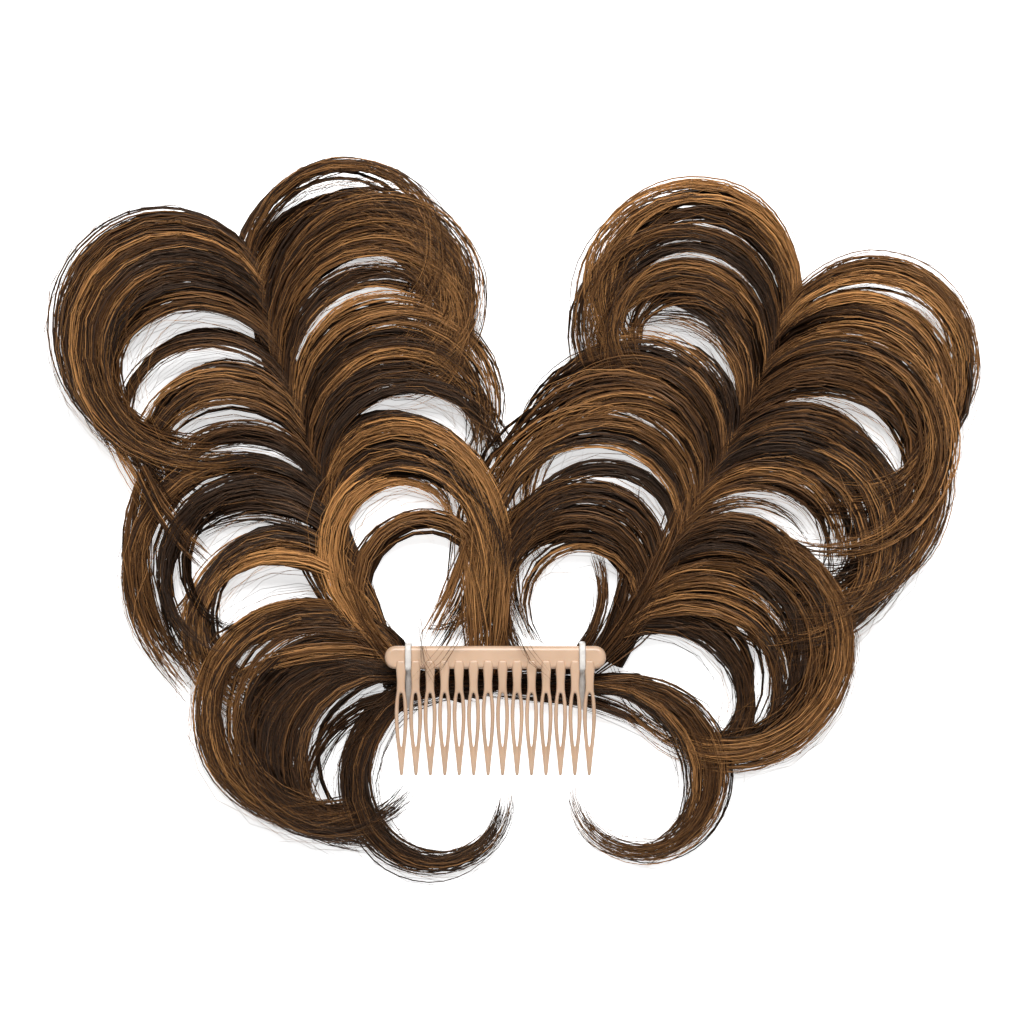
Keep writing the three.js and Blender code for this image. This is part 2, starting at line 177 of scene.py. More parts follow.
RIGHT_INNER = [
    (135, 25, 137, 228, 1.15, 12, 20, 12, 0.6, 0.1),
    (128, 22, 141, 226, 1.05, 7, 17, 9, 0.5, 0.1),
    (118, 18, 134, 236, 1.15, 9, 19, 11, 0.35, 0.2),
    (114, 16, 130, 230, 1.15, 9, 19, 10, 0.3, 0.2),
    (104, 14, 124, 296, 2, 10, 19, 11, 0.55, 0.1),
    (98, 14, 112, 270, 2, 10, 18, 10, 0.35, 0.2),
    (94, 14, 92, 190, 1.6, 10, 17, 9, 0.3, 0.2),
    (90, 14, 78, 140, 1.3, 10, 16, 8, 0.25, 0.3),
    (84, 14, 68, 124, 1.2, 9, 16, 7, 0.3, 0.3),
    (76, 14, 62, 120, 1.2, 9, 16, 7, 0.3, 0.3),
    (71, 13, 112, 190, 1.1, 10, 15, 6, 0.4, 0.2),
    (61, 14, 98, 188, 1.1, 10, 16, 6, 0.35, 0.3),
    (58, 16, 138, 222, 0.5, 10, 16, 5, 0.35, 0.2),
    (46, 16, 148, 216, 0.3, 10, 16, 5, 0.4, 0.2),
    (37, 17, 138, 222, 0.35, 10, 15, 5, 0.45, 0.1),
    (28, 18, 124, 222, 0.4, 9, 14, 5, 0.4, 0.1),
    (19, 19, 108, 222, 0.6, 9, 13, 5, 0.3, 0.2),
    (12, 24, 92, 232, 0.9, 8, 11, 5, 0.35, 0.1),
]
RIGHT_CROWN = [
    (127, 9, 130, 214, 1.15, 5, 17, 9, 0.4, 0.2),
    (126, 10, 124, 212, 1.15, 10, 20, 10, 0.42, 0.2),
    (122, 11, 121, 206, 1.12, 7, 19, 9, 0.45, 0.1),
    (119, 12, 118, 200, 1.1, 9, 19, 9, 0.65, 0),
    (113, 13, 140, 245, 1.1, 10, 19, 12, 0.45, 0.2),
    (101, 14, 162, 262, 0.95, 8, 19, 12, 0.55, 0.1),
    (97, 13, 95, 165, 1.15, 9, 17, 4, 0.35, 0.1),
    (88, 13, 92, 160, 1.15, 9, 16, 4, 0.55, 0.1),
    (78, 13, 80, 150, 1.15, 8, 16, 3, 0.2, 0.3),
    (70, 13, 78, 150, 1.15, 9, 16, 3, 0.15, 0.3),
    (63, 13, 77, 150, 1.15, 9, 15, 3, 0.25, 0.2),
]
RIGHT_SIDE = [
    (53, 14, 72, 150, 1.2, 8, 15, 6, 0.65, 0.1),
    (44, 14, 56, 115, 1.2, 5, 15, 7, 0.6, 0.1),
    (35, 14, 66, 150, 1.2, 10, 14, 6, 0.3, 0.5),
    (28, 16, 55, 120, 1.2, 9, 13, 6, 0.2, 0.2),
    (18, 20, 58, 110, 1.2, 9, 12, 6, 0.25, 0.1),
    (8, 26, 70, 110, 1.2, 9, 11, 6, 0.3, 0.1),
    (90, 13, 176, 230, 0.88, 10, 14, 11, 0.4, 0.1),
    (80, 13, 166, 240, 0.9, 10, 13, 11, 0.36, 0.1),
    (70, 13, 146, 232, 0.95, 10, 12, 10, 0.28, 0.1),
    (64, 13, 140, 230, 1, 10, 13, 11, 0.3, 0.1),
    (60, 13, 132, 226, 1, 10, 11, 9, 0.35, 0.1),
    (29, 14, 198, 280, 0.8, 10, 11, 8, 0.36, 0),
    (26, 14, 168, 250, 0.95, 10, 11, 7, 0.3, 0),
    (20, 14, 130, 230, 1, 10, 10, 6, 0.3, 0.1),
    (10, 30, 102, 192, 1.3, 9, 9, 5, 0.25, 0.1),
    (6, 36, 96, 190, 1.2, 6, 8, 5, 0.2, 0.1),
    (2, 36, 92, 184, 1.2, 7, 8, 5, 0.25, 0.1),
    (12, 2, 160, 250, 0.95, 9, 7, 4, 0.45, 0),
]
RIGHT_LOWER = [
    (44, -12, 138, 278, 1.7, 10, 8, 4, 0.1, 0.1),
    (42, -8, 136, 284, 1.9, 9, 8, 4, 0.1, 0.1),
    (44, -5, 84, 140, 1.3, 10, 8, 5, 0.15, 0.1),
    (44, 3, 92, 150, 1.3, 9, 9, 5, 0.15, 0.1),
]

# Hair that runs along the band behind the comb, up the foot of each spine and down the left edge
BAND_COLUMNS = ("x", "y", "heading", "length", "turn", "width", "height", "tone")
LEFT_FOOT = [
    (-43, -50, 135, 76, -60, 9, 9, 0.5),
    (-49, -48, 138, 72, -42, 9, 8, 0.35),
]
LEFT_EDGE = [
    (-128, 17, 248, 84, 67, 7, 8, 0.5),
    (-125, 16, 248, 82, 66, 7, 7, 0.4),
    (-129, 16, 292, 40, 28, 4, 16, 0.45),
]
LEFT_HOOK = [
    (-43, -62, 186, 54, 92, 8, 7, 0.1),
]
RIGHT_FOOT = [
    (19.5, -48.5, 44, 40, 70, 5, 8, 0.3),
    (23, -50, 44, 48, 62, 6, 8, 0.25),
    (28, -48, 62, 60, 28, 7, 8, 0.25),
    (27, -49, 50, 76, 30, 8, 9, 0.25),
    (26, -52, 37, 84, 42, 9, 8, 0.25),
]
BAND = [
    (-45, -50, -6, 46, 8, 8, 8, 0.15),
    (-46, -57, -6, 48, 14, 9, 6, 0.1),
    (-46, -64, 8, 30, 8, 7, 5, 0.1),
    (25, -50, 186, 46, -8, 8, 8, 0.15),
    (26, -56, 182, 48, -8, 8, 6, 0.1),
    (25, -61, 180, 34, -6, 5, 5, 0.1),
    (6, -61, -1, 48, -34, 7, 6, 0.1),
]

# Hair in the middle, above the comb
MIDDLE = [
    (-14, -52, 92, 42, 10, 8, 10, 0.7),
    (-8, -52, 84, 42, 4, 8, 10, 0.65),
    (-2, -50, 115, 40, -60, 6, 9, 0.55),
    (-17, -8, 252, 36, -12, 6, 9, 0.75),
]

# Single hairs that cross the comb's bar, and the gap at the lower left
CROSSING = [
    (-33, -36, 268, 23, 36, 0.6, 20, 0.3),
    (-19, -38, 240, 26, -20, 0.6, 20, 0.35),
    (-1, -38, 290, 22, 34, 0.6, 20, 0.35),
    (-46, -68, 200, 44, 84, 0.6, 8, 0.2),
    (-46, -70, 202, 42, 86, 0.6, 8, 0.2),
]

# Gaps that the floor shows through: centre, half length and half width of each, and its slant
GAPS = [
    (-127, 62, 10.5, 4, 35),
    (-125, 46, 9, 2.8, 38),
    (-110, 32, 9, 1.5, 15),
    (-100, 22.5, 11, 3, 10),
    (-103, 14.5, 9, 3, 15),
    (-102, -7, 9.5, 3, 27),
    (-114, -18.5, 11, 4.5, 65),
    (-85.5, -23.5, 17, 6, 5),
    (-126, -25, 9, 2.5, 100),
    (-59.5, 114.5, 14, 2.2, 10),
    (-52.5, 88, 9, 1.5, 5),
    (-26, 35.5, 9, 2.8, -5),
    (-35, 6, 9.5, 3.5, -15),
    (-35, -22.7, 14, 10, 85),
    (-66, -88, 10, 4, 70),
    (-88, -46, 9, 2.5, 20),
    (-46, -87, 9, 4.5, 65),
    (-24, -104, 15, 8, 0),
    (49, 65.5, 13, 3.5, -40),
    (42, 61, 9, 2, -20),
    (12.5, 57.5, 6, 2, 35),
    (78, 96, 17, 2.6, -48),
    (42, 89, 9, 1.4, -5),
    (73, 109, 10, 1.3, -18),
    (138.8, 71.3, 9.5, 1.7, -30),
    (125, 28, 13, 3.5, -58),
    (93.5, 0.3, 12.5, 4, -42),
    (78, 3, 7, 1.6, -5),
    (19, 17, 12, 3.4, -8),
    (13.5, -26.3, 16.5, 15.5, 0),
    (59, -56, 19, 5, -35),
    (84.5, -60, 11, 3, 85),
    (42, -94, 15, 15, 0),
]

# Outline that the curls stay inside, from the notch at the top of the left wing round to the left
OUTLINE = [
    (-92, 97), (-101, 104), (-110, 107), (-121, 108), (-131, 106), (-141, 102), (-149, 96), (-155, 87),
    (-159, 75), (-161, 60), (-159, 46), (-154, 35), (-147, 26), (-138, 20), (-135, 14), (-134, 6),
    (-136, -5), (-137, -16), (-136, -28), (-132, -39), (-125, -48), (-117, -54), (-115, -63), (-113, -73),
    (-108, -82), (-103, -91), (-94, -97), (-85, -102), (-74, -109), (-62, -113), (-52, -116), (-43, -121),
    (-33, -123), (-24, -123), (-14, -119), (-8, -113), (-4, -104), (-3, -94), (-9, -96), (-12, -107),
    (-19, -113), (-29, -113), (-36, -106), (-34, -90), (-41, -91), (-47, -94), (-50, -86), (-46, -79),
    (-40, -72), (-33, -68), (-25, -66), (-13, -63), (14, -64), (28, -68), (42, -75), (52, -81),
    (58, -88), (59, -94), (54, -103), (45, -110), (35, -110), (27, -105), (21, -97), (18, -91),
    (18, -97), (20, -103), (26, -111), (34, -116), (44, -118), (55, -115), (65, -110), (73, -101),
    (76, -93), (77, -89), (86, -88), (96, -84), (101, -77), (107, -69), (112, -59), (114, -48),
    (117, -41), (125, -32), (132, -24), (139, -13), (145, -1), (151, 12), (154, 27), (159, 41),
    (161, 52), (157, 62), (151, 74), (141, 83), (131, 89), (120, 91), (110, 89), (101, 82),
    (100, 88), (98, 96), (92, 104), (84, 112), (74, 117), (63, 119), (51, 117), (41, 110),
    (33, 102), (28, 95), (21, 84), (16, 75), (13, 66), (10, 59), (6, 50), (3, 42),
    (0, 38), (-4, 48), (-6, 57), (-11, 65), (-9, 73), (-10, 80), (-15, 91), (-23, 100),
    (-31, 108), (-35, 115), (-43, 121), (-54, 123), (-66, 122), (-77, 118), (-87, 111), (-94, 102),
]

# Strands, in millimetres: how many to a clump, half width, thickness over width, twist, wander, how
# much wider or tighter than the guide, share lost at the end, lift off the guide, and a lighter tone that
# is painted light on hairs lying on top
STRAND_COLUMNS = ("Count", "Half width", "Rise", "Tilt", "Frizz", "Stretch", "Loose ends", "Lift", "Tone")
STRAND_LENGTHS = ("Half width", "Frizz", "Lift")
RIBBONS = (3, 0.3, 0.35, 0.5, 2.0, 0.03, 0.12, 0.0, 0.0)
UNDER_RIBBONS = (3, 0.6, 0.3, 0.4, 2.0, 0.03, 0.16, 0.0, 0.0)
FINE_HAIRS = (4, 0.1, 0.8, 1.0, 4.0, 0.06, 0.24, 0.6, 0.08)
STRAY_HAIRS = (1, 0.08, 0.8, 1.0, 7.0, 0.08, 0.3, 1.0, 0.15)
FRIZZ_SIZE = 30

# Clumps: how a curl is shared out, and how far a loose clump strays from its row
CLUMP_WIDTH = 1.1
FEWEST_CLUMPS = 3
CLUMP_SPREAD = 0.8
CLUMP_JITTER = 0.08
CLUMP_OVERLAP = 1.2
CLUMP_TONE = 0.1
LOCK_CLUMPS = 3
LOCK_TONE = 0.48
DARK_LOCK_COOL = 1.4
VARY = 0.6
LOOSE = 1.5
ROOT_STRAY = 6
LEAN_STRAY = 4
LENGTH_STRAY = (-0.1, 0.06)
TURN_STRAY = (-0.06, 0.07)
LIFT_STRAY = 2
TRIES = 30
SHRINK = 0.003
FLOOR_CLEARANCE = 0.8

# Layer beneath the curls, darkened as painted shade, single stray hairs, and bundles that grow from no
# spine
UNDER_PER_CURL = 9
UNDER_DROP = 3
UNDER_LOWEST_TIP = 2
UNDER_OFFSET = 0.5
UNDER_HALF_WIDTH = 1.3
# Painted shade: the layer beneath the curls is made darker than the curls above it
UNDER_PAINTED_SHADE = -0.4
UNDER_TONE_STRAY = 0.14
STRAYS_PER_CURL = 11
STRAY_OFFSET = 0.7
STRAY_HALF_WIDTH = 0.1
STRAY_TONE = 0.2
BUNDLE_CLUMPS = 6
BUNDLE_STRAY = 2
BUNDLE_HEADING_STRAY = 3
BUNDLE_LIFT_STRAY = 1
BUNDLE_HALF_SHARE = 0.35
BUNDLE_TONE_STRAY = 0.14
BUNDLE_COOL = 0.1

# Guides: points as close as their bend needs, and a lead-in that runs back along the spine
FINE_STEP = 1.5
SHORTEST_WALK = 0.001
BEND_ERROR = 0.075
FINE_BEND_ERROR = 0.4
UNDER_BEND_ERROR = 0.22
LONG_STEP = 14
LEAD_LENGTH = 30
LEAD_BELOW = 10
LEAD_BLEND = 14
LEAD_HEIGHT = 4.5

# Width of a curl along its length, as a share of its fullest
LEAD_SWELL = 0.3
ROOT_SWELL = 0.5
FULL_FROM = 0.3
TAPER_FROM = 0.55
TAPER_LENGTH = 0.45
TIP_SWELL = 0.25


# Curls as plans, the same way as in the part's source
def curl_walk(start, heading, length, turn, ease):
    """Close points (x, y, heading, along) of a curl whose bend changes evenly from root to tip."""
    first_bend = 2 * turn / (1 + ease) / length
    gain = first_bend * (ease - 1) / length
    count = max(2, math.ceil(length / FINE_STEP))
    step = length / count
    x, y = start
    points = []
    for i in range(count + 1):
        along = i * step
        middle = along + 0.5 * step
        points.append((x, y, heading + first_bend * along + 0.5 * gain * along * along, along))
        ahead = math.radians(heading + first_bend * middle + 0.5 * gain * middle * middle)
        x += step * math.cos(ahead)
        y += step * math.sin(ahead)
    return points


def point_on_run(run, along):
    """A point of a run, and the run's heading there."""
    swing = run["swing"] * along / run["length"]
    start = (run["x"], run["y"])
    x, y, heading, _ = curl_walk(start, run["heading"], max(along, SHORTEST_WALK), swing, 1)[-1]
    return x, y, heading


def lead_in(start, heading, run_heading, length):
    """Points back from a curl's root, which come into line with the run."""
    count = max(2, math.ceil(length / FINE_STEP))
    step = length / count
    x, y = start
    points = []
    for i in range(count):
        back = (i + 0.5) * step
        share = max(0, 1 - back / LEAD_BLEND)
        here = run_heading + (heading - run_heading) * share
        x -= step * math.cos(math.radians(here))
        y -= step * math.sin(math.radians(here))
        points.append((x, y, here, -(i + 1) * step))
    return points[::-1]


def thinned(points, error):
    """The points of a walk that keep straight pieces within an error, an eighth of length times turn."""
    kept = [points[0]]
    for point in points[1:-1]:
        turned = math.radians(abs(point[2] - kept[-1][2]))
        length = point[3] - kept[-1][3]
        if length * turned / 8 >= error or length >= LONG_STEP:
            kept.append(point)
    return kept + [points[-1]]


def smooth(value):
    """Eased share between 0 and 1."""
    held = min(max(value, 0), 1)
    return held * held * (3 - 2 * held)


def mix(low, high, share):
    """Value between low and high."""
    return low + (high - low) * share


def either_way(draw, reach):
    """A random number up to a reach on either side of zero."""
    return draw.uniform(-reach, reach)


def swell(share):
    """Width of a curl along its length: gathered at the root, full in the middle, fine at the tip."""
    filling = mix(ROOT_SWELL, 1, smooth(share / FULL_FROM))
    return filling * mix(1, TIP_SWELL, smooth((share - TAPER_FROM) / TAPER_LENGTH))


def swell_at(along, length):
    """Width of a curl or of its lead-in, as a share of its fullest."""
    if along > 0:
        return swell(along / length)
    return mix(swell(0), LEAD_SWELL, smooth(-along / LEAD_LENGTH))


class Guides:
    """Guide lines for strands, gathered into one mesh with values at each point."""

    FIELDS = ("half_width", "half_depth", "share", "tone", "cool")

    def __init__(self, error):
        self.error = error
        self.points = []
        self.sides = []
        self.roots = []
        self.edges = []
        self.values = {name: [] for name in self.FIELDS}

    def add(self, stops, root, tone, cool):
        """One guide through stops (x, y, z, heading, half width, share), grown from a root."""
        for i, (x, y, z, heading, half_width, share) in enumerate(stops):
            angle = math.radians(heading)
            if i:
                self.edges.append((len(self.points) - 1, len(self.points)))
            self.points.append((x * MM, y * MM, z * MM))
            self.sides.append((-math.sin(angle), math.cos(angle), 0))
            self.roots.append((root[0] * MM, root[1] * MM, z * MM))
            row = (half_width * MM, DEPTH_SHARE * half_width * MM, share, tone, cool)
            for name, value in zip(self.FIELDS, row):
                self.values[name].append(value)

    def mesh(self, name):
        """The guides as a mesh of loose edges."""
        made = bpy.data.meshes.new(name)
        made.from_pydata(self.points, self.edges, [])
        for field, vectors in (("side", self.sides), ("root_place", self.roots)):
            numbers = [number for vector in vectors for number in vector]
            made.attributes.new(field, "FLOAT_VECTOR", "POINT").data.foreach_set("vector", numbers)
        for field, numbers in self.values.items():
            made.attributes.new(field, "FLOAT", "POINT").data.foreach_set("value", numbers)
        return made


def curl_height(curl, along, length):
    """Height of a curl: up from its lead-in, over its crown and down to its tip."""
    if along < 0:
        return mix(ROOT_HEIGHT, LEAD_HEIGHT, smooth(-along / LEAD_LENGTH))
    share = along / length
    if share < CROWN_AT:
        return mix(ROOT_HEIGHT, curl["crown"], smooth(share / CROWN_AT))
    return mix(curl["crown"], curl["tip"], smooth((share - CROWN_AT) / (1 - CROWN_AT)))


# Layers of hair: the outline let out by a slack, the margin kept from gaps, the share that may cross
def new_layer(slack, margin, kept):
    """Bounds that a layer's clumps are drawn within."""
    points = np.array(OUTLINE, dtype=float)
    ahead = np.roll(points, -1, axis=0) - np.roll(points, 1, axis=0)
    ahead /= np.linalg.norm(ahead, axis=1, keepdims=True)
    outline = points + slack * np.column_stack((ahead[:, 1], -ahead[:, 0]))
    return {"outline": outline, "margin": margin, "kept": kept}


CURL_LAYER = new_layer(slack=1.5, margin=0, kept=0.55)
UNDER_LAYER = new_layer(slack=-2, margin=0.8, kept=0.75)
STRAY_LAYER = new_layer(slack=5, margin=None, kept=0)
GAP_X, GAP_Y, GAP_HALF_LENGTH, GAP_HALF_WIDTH, GAP_SLANT = np.array(GAPS).T


def clear_of_gaps(points, margin):
    """Whether points pass clear of every gap by a margin, or no margin is asked for."""
    if margin is None:
        return True
    slant = np.radians(GAP_SLANT)
    x = points[:, :1] - GAP_X
    y = points[:, 1:] - GAP_Y
    along = (x * np.cos(slant) + y * np.sin(slant)) / (GAP_HALF_LENGTH + margin)
    across = (y * np.cos(slant) - x * np.sin(slant)) / (GAP_HALF_WIDTH + margin)
    return bool((along ** 2 + across ** 2 > 1).all())


def inside(points, outline):
    """Whether points lie inside an outline: a line to one side crosses it an odd number of times."""
    x, y = points[:, :1], points[:, 1:]
    from_x, from_y = outline[:, 0], outline[:, 1]
    to_x, to_y = np.roll(from_x, -1), np.roll(from_y, -1)
    height = np.where(to_y == from_y, 1, to_y - from_y)
    crosses = ((from_y > y) != (to_y > y)) & (x < from_x + (y - from_y) * (to_x - from_x) / height)
    return bool((crosses.sum(axis=1) % 2 == 1).all())


# Clumps of hair
def clump_walk(run, side, curl, vary, shrink, draw):
    """Walk of one clump of a curl, drawn a little different from the curl, with its length and lift."""
    root = max(curl["root"] + vary * either_way(draw, ROOT_STRAY), 0)
    x, y, run_heading = point_on_run(run, root)
    heading = run_heading + side * (curl["lean"] + vary * either_way(draw, LEAN_STRAY))
    length = shrink * curl["length"] * (1 + vary * draw.uniform(*LENGTH_STRAY))
    turn = side * curl["turn"] * (1 + vary * draw.uniform(*TURN_STRAY))
    lift = vary * either_way(draw, LIFT_STRAY)
    lead = lead_in((x, y), heading, run_heading, min(LEAD_LENGTH, root + LEAD_BELOW))
    return lead + curl_walk((x, y), heading, length, turn, curl["ease"]), length, lift


def set_off(walk, length, distance):
    """A walk moved sideways, as far as its swell allows."""
    moved = []
    for x, y, heading, along in walk:
        across = math.radians(heading + 90)
        aside = distance * swell_at(along, length)
        moved.append((x + aside * math.cos(across), y + aside * math.sin(across), heading, along))
    return moved


def clump_stops(walk, curl, length, lift, half_width):
    """Stops of a clump: its place, height, heading, half width and share of the length."""
    stops = []
    for x, y, heading, along in walk:
        share = max(along, 0) / length
        half = half_width * swell_at(along, length)
        low = FLOOR_CLEARANCE + DEPTH_SHARE * half
        z = max(curl_height(curl, along, length) + lift * share, low)
        stops.append((x, y, z, heading, half, share))
    return stops


def found_walk(run, side, curl, offset, vary, draw, layer):
    """A clump's walk within its layer, each try smaller and nearer its row. A share may cross gaps."""
    for attempt in range(TRIES):
        steady = 1 - attempt / TRIES
        walk, length, lift = clump_walk(run, side, curl, vary * steady, 1 - SHRINK * attempt, draw)
        walk = set_off(walk, length, offset * curl["width"])
        points = np.array([(x, y) for x, y, _, along in walk if along > 0])
        fits = inside(points, layer["outline"])
        if fits and clear_of_gaps(points, layer["margin"]):
            return walk, length, lift
    if fits and draw.random() < layer["kept"]:
        return walk, length, lift
    return None


def add_clump(guides, curl, found, half_width, tone, cool):
    """One clump of a curl along a walk, if one was found."""
    if not found:
        return
    walk, length, lift = found
    stops = clump_stops(thinned(walk, guides.error), curl, length, lift, half_width)
    root = next(point for point in walk if point[3] >= 0)
    guides.add(stops, root, tone, cool)


def add_curl(guides, run, side, curl, draw):
    """A curl as several clumps side by side, each a little different, a few to each tone."""
    clumps = max(FEWEST_CLUMPS, round(curl["width"] / CLUMP_WIDTH))
    half_width = CLUMP_OVERLAP * curl["width"] / clumps
    for k in range(clumps):
        if k % LOCK_CLUMPS == 0:
            lock_tone = either_way(draw, LOCK_TONE)
        offset = CLUMP_SPREAD * ((k + 0.5) / clumps - 0.5) + either_way(draw, CLUMP_JITTER)
        found = found_walk(run, side, curl, offset, VARY, draw, CURL_LAYER)
        tone = curl["tone"] + lock_tone + either_way(draw, CLUMP_TONE)
        cool = curl["cool"] + DARK_LOCK_COOL * max(-lock_tone, 0)
        add_clump(guides, curl, found, half_width, tone, cool)


def add_under_layer(guides, run, side, curl, draw):
    """Loose clumps about and beneath a curl, darkened and without cool grey as painted shade."""
    lower = dict(curl)
    lower["crown"] = curl["crown"] - UNDER_DROP
    lower["tip"] = max(curl["tip"] - UNDER_DROP, UNDER_LOWEST_TIP)
    for _ in range(UNDER_PER_CURL):
        offset = either_way(draw, UNDER_OFFSET)
        found = found_walk(run, side, lower, offset, LOOSE, draw, UNDER_LAYER)
        # Painted shade: a darker tone and no cool grey for the clumps beneath
        tone = curl["tone"] + UNDER_PAINTED_SHADE + either_way(draw, UNDER_TONE_STRAY)
        add_clump(guides, lower, found, UNDER_HALF_WIDTH, tone, 0)


def add_strays(guides, run, side, curl, draw):
    """Single hairs that stand off a curl, over its gaps too."""
    for _ in range(STRAYS_PER_CURL):
        offset = either_way(draw, STRAY_OFFSET)
        found = found_walk(run, side, curl, offset, LOOSE, draw, STRAY_LAYER)
        tone = curl["tone"] + either_way(draw, STRAY_TONE)
        add_clump(guides, curl, found, STRAY_HALF_WIDTH, tone, curl["cool"])


def add_bundle(guides, rows, seed):
    """Hair along rows that grow from no spine."""
    draw = random.Random(seed)
    for row in rows:
        run = dict(zip(BAND_COLUMNS, row))
        length = run["length"]
        half = BUNDLE_HALF_SHARE * run["width"]
        for _ in range(BUNDLE_CLUMPS):
            start = (run["x"] + either_way(draw, BUNDLE_STRAY), run["y"] + either_way(draw, BUNDLE_STRAY))
            heading = run["heading"] + either_way(draw, BUNDLE_HEADING_STRAY)
            z = run["height"] + either_way(draw, BUNDLE_LIFT_STRAY)
            tone = run["tone"] + either_way(draw, BUNDLE_TONE_STRAY)
            walk = thinned(curl_walk(start, heading, length, run["turn"], 1), guides.error)
            stops = [(x, y, z, angle, half * swell(along / length), along / length)
                     for x, y, angle, along in walk]
            guides.add(stops, start, tone, BUNDLE_COOL)


def curl_guides(groups, seed, fill, error):
    """Guides of the curls in (run, side, table) groups."""
    guides = Guides(error)
    draw = random.Random(seed)
    for run, side, table in groups:
        for row in table:
            fill(guides, run, side, dict(zip(CURL_COLUMNS, row)), draw)
    return guides


# Node trees
def add(tree, kind, inputs=None, **settings):
    """A node with its settings, and its inputs linked or set."""
    made = tree.nodes.new(kind)
    for name, value in settings.items():
        setattr(made, name, value)
    for key, value in (inputs or {}).items():
        plug(tree, made.inputs[key], value)
    return made


def plug(tree, socket, value):
    """Links an output to an input, or sets the input's value."""
    if isinstance(value, bpy.types.NodeSocket):
        tree.links.new(value, socket)
    else:
        socket.default_value = value


def in_use(sockets, name):
    """The socket of a name that its node's settings leave in use."""
    return next(socket for socket in sockets if socket.name == name and socket.enabled)


def calc(tree, operation, a, b=0.0, c=0.0):
    """A sum, product or the like of numbers in a node tree."""
    return add(tree, "ShaderNodeMath", {0: a, 1: b, 2: c}, operation=operation).outputs[0]


def vector_calc(tree, operation, a, b):
    """A sum or product of vectors in a node tree."""
    return add(tree, "ShaderNodeVectorMath", {0: a, 1: b}, operation=operation).outputs[0]


def scaled(tree, vector, factor):
    """A vector times a number in a node tree."""
    return add(tree, "ShaderNodeVectorMath", {0: vector, "Scale": factor}, operation="SCALE").outputs[0]


def vector(tree, parts):
    """A vector from the parts that are given, in a node tree."""
    return add(tree, "ShaderNodeCombineXYZ", parts).outputs[0]


def read(tree, name, kind="FLOAT"):
    """A value that the guides carry."""
    node = add(tree, "GeometryNodeInputNamedAttribute", {"Name": name}, data_type=kind)
    return in_use(node.outputs, "Attribute")


def keep(tree, geometry, name, value, kind="FLOAT", domain="POINT"):
    """Stores a value on the geometry under a name."""
    inputs = {"Geometry": geometry, "Name": name}
    node = add(tree, "GeometryNodeStoreNamedAttribute", inputs, data_type=kind, domain=domain)
    plug(tree, in_use(node.inputs, "Value"), value)
    return node.outputs["Geometry"]


def drawn(tree, low, high, seed):
    """A random number for each element."""
    node = add(tree, "FunctionNodeRandomValue", {"Seed": seed}, data_type="FLOAT")
    in_use(node.inputs, "Min").default_value = low
    in_use(node.inputs, "Max").default_value = high
    return in_use(node.outputs, "Value")


def new_tree(name, whole_numbers, numbers):
    """A geometry tree with named inputs and a material, its inputs by name, and its last node."""
    tree = bpy.data.node_groups.new(name, "GeometryNodeTree")
    tree.interface.new_socket("Geometry", in_out="OUTPUT", socket_type="NodeSocketGeometry")
    sockets = [("Geometry", "Geometry"), ("Material", "Material")]
    sockets += [(label, "Int") for label in whole_numbers]
    sockets += [(label, "Float") for label in numbers]
    for label, kind in sockets:
        tree.interface.new_socket(label, in_out="INPUT", socket_type="NodeSocket" + kind)
    start = tree.nodes.new("NodeGroupInput")
    return tree, start.outputs, tree.nodes.new("NodeGroupOutput")


def end_tree(tree, end, geometry, material):
    """Ends a tree with smooth faces, no instances and a material."""
    rounded = add(tree, "GeometryNodeSetShadeSmooth", {"Geometry": geometry}).outputs[0]
    whole = add(tree, "GeometryNodeRealizeInstances", {"Geometry": rounded}).outputs[0]
    painted = add(tree, "GeometryNodeSetMaterial", {"Geometry": whole, "Material": material})
    plug(tree, end.inputs["Geometry"], painted.outputs[0])
    return tree


def linked(name, data):
    """An object in the scene."""
    made = bpy.data.objects.new(name, data)
    bpy.context.scene.collection.objects.link(made)
    return made


def set_inputs(modifier, values):
    """Sets a modifier's inputs by the names that its tree gives them."""
    for item in modifier.node_group.interface.items_tree:
        if item.in_out == "INPUT" and item.name in values:
            modifier[item.identifier] = values[item.name]


def made_mesh(name, source, tree, values):
    """Runs a tree on a mesh and gives the result as an object with a plain mesh."""
    guide = linked(name + "_guide", source)
    modifier = guide.modifiers.new("build", "NODES")
    modifier.node_group = tree
    set_inputs(modifier, values)
    graph = bpy.context.evaluated_depsgraph_get()
    result = bpy.data.meshes.new_from_object(guide.evaluated_get(graph))
    bpy.data.objects.remove(guide)
    result.name = name
    return linked(name, result)


# Strands: the range of each random number, and the seed's step from one to the next
STRAND_DRAWS = {
    "across": (-1, 1),
    "rise": (-1, 1),
    "drift": (-1, 1),
    "stretch": (-1, 1),
    "short": (0, 1),
    "shade": (-1, 1),
    "thick": (0.7, 1.3),
    "twist": (-1, 1),
    "phase": (0, 50),
}
SEED_STEP = 10

# Where strands lie closest along a clump, room in its depth, wander, section, taper, painted shade by
# depth, and tones
CLOSEST_AT = 0.4
CLUMP_ROOM = 1.02
WANDER_SHAPE = (1.0, 1.0, 0.6)
ROOT_WANDER = 0.5
WANDER_GAIN = 1.6
SECTION_SIDES = 3
SECTION_WIDTH = 1.15
SHORT_POWER = 2.0
TAPER_POWER = 3.0
TIP_TAPER = -0.85
# Painted shade: a strand low in its clump is darker, one on top lighter
RISE_PAINTED_SHADE = 0.12
STRAND_TONE = 0.2

# Flat map of the strands: rows side by side, and a strand's place in its row
MAP_COLUMNS = 8.0
MAP_START = 0.03
MAP_LENGTH = 0.94
MAP_FOOT = 0.15
MAP_STEP = 0.35


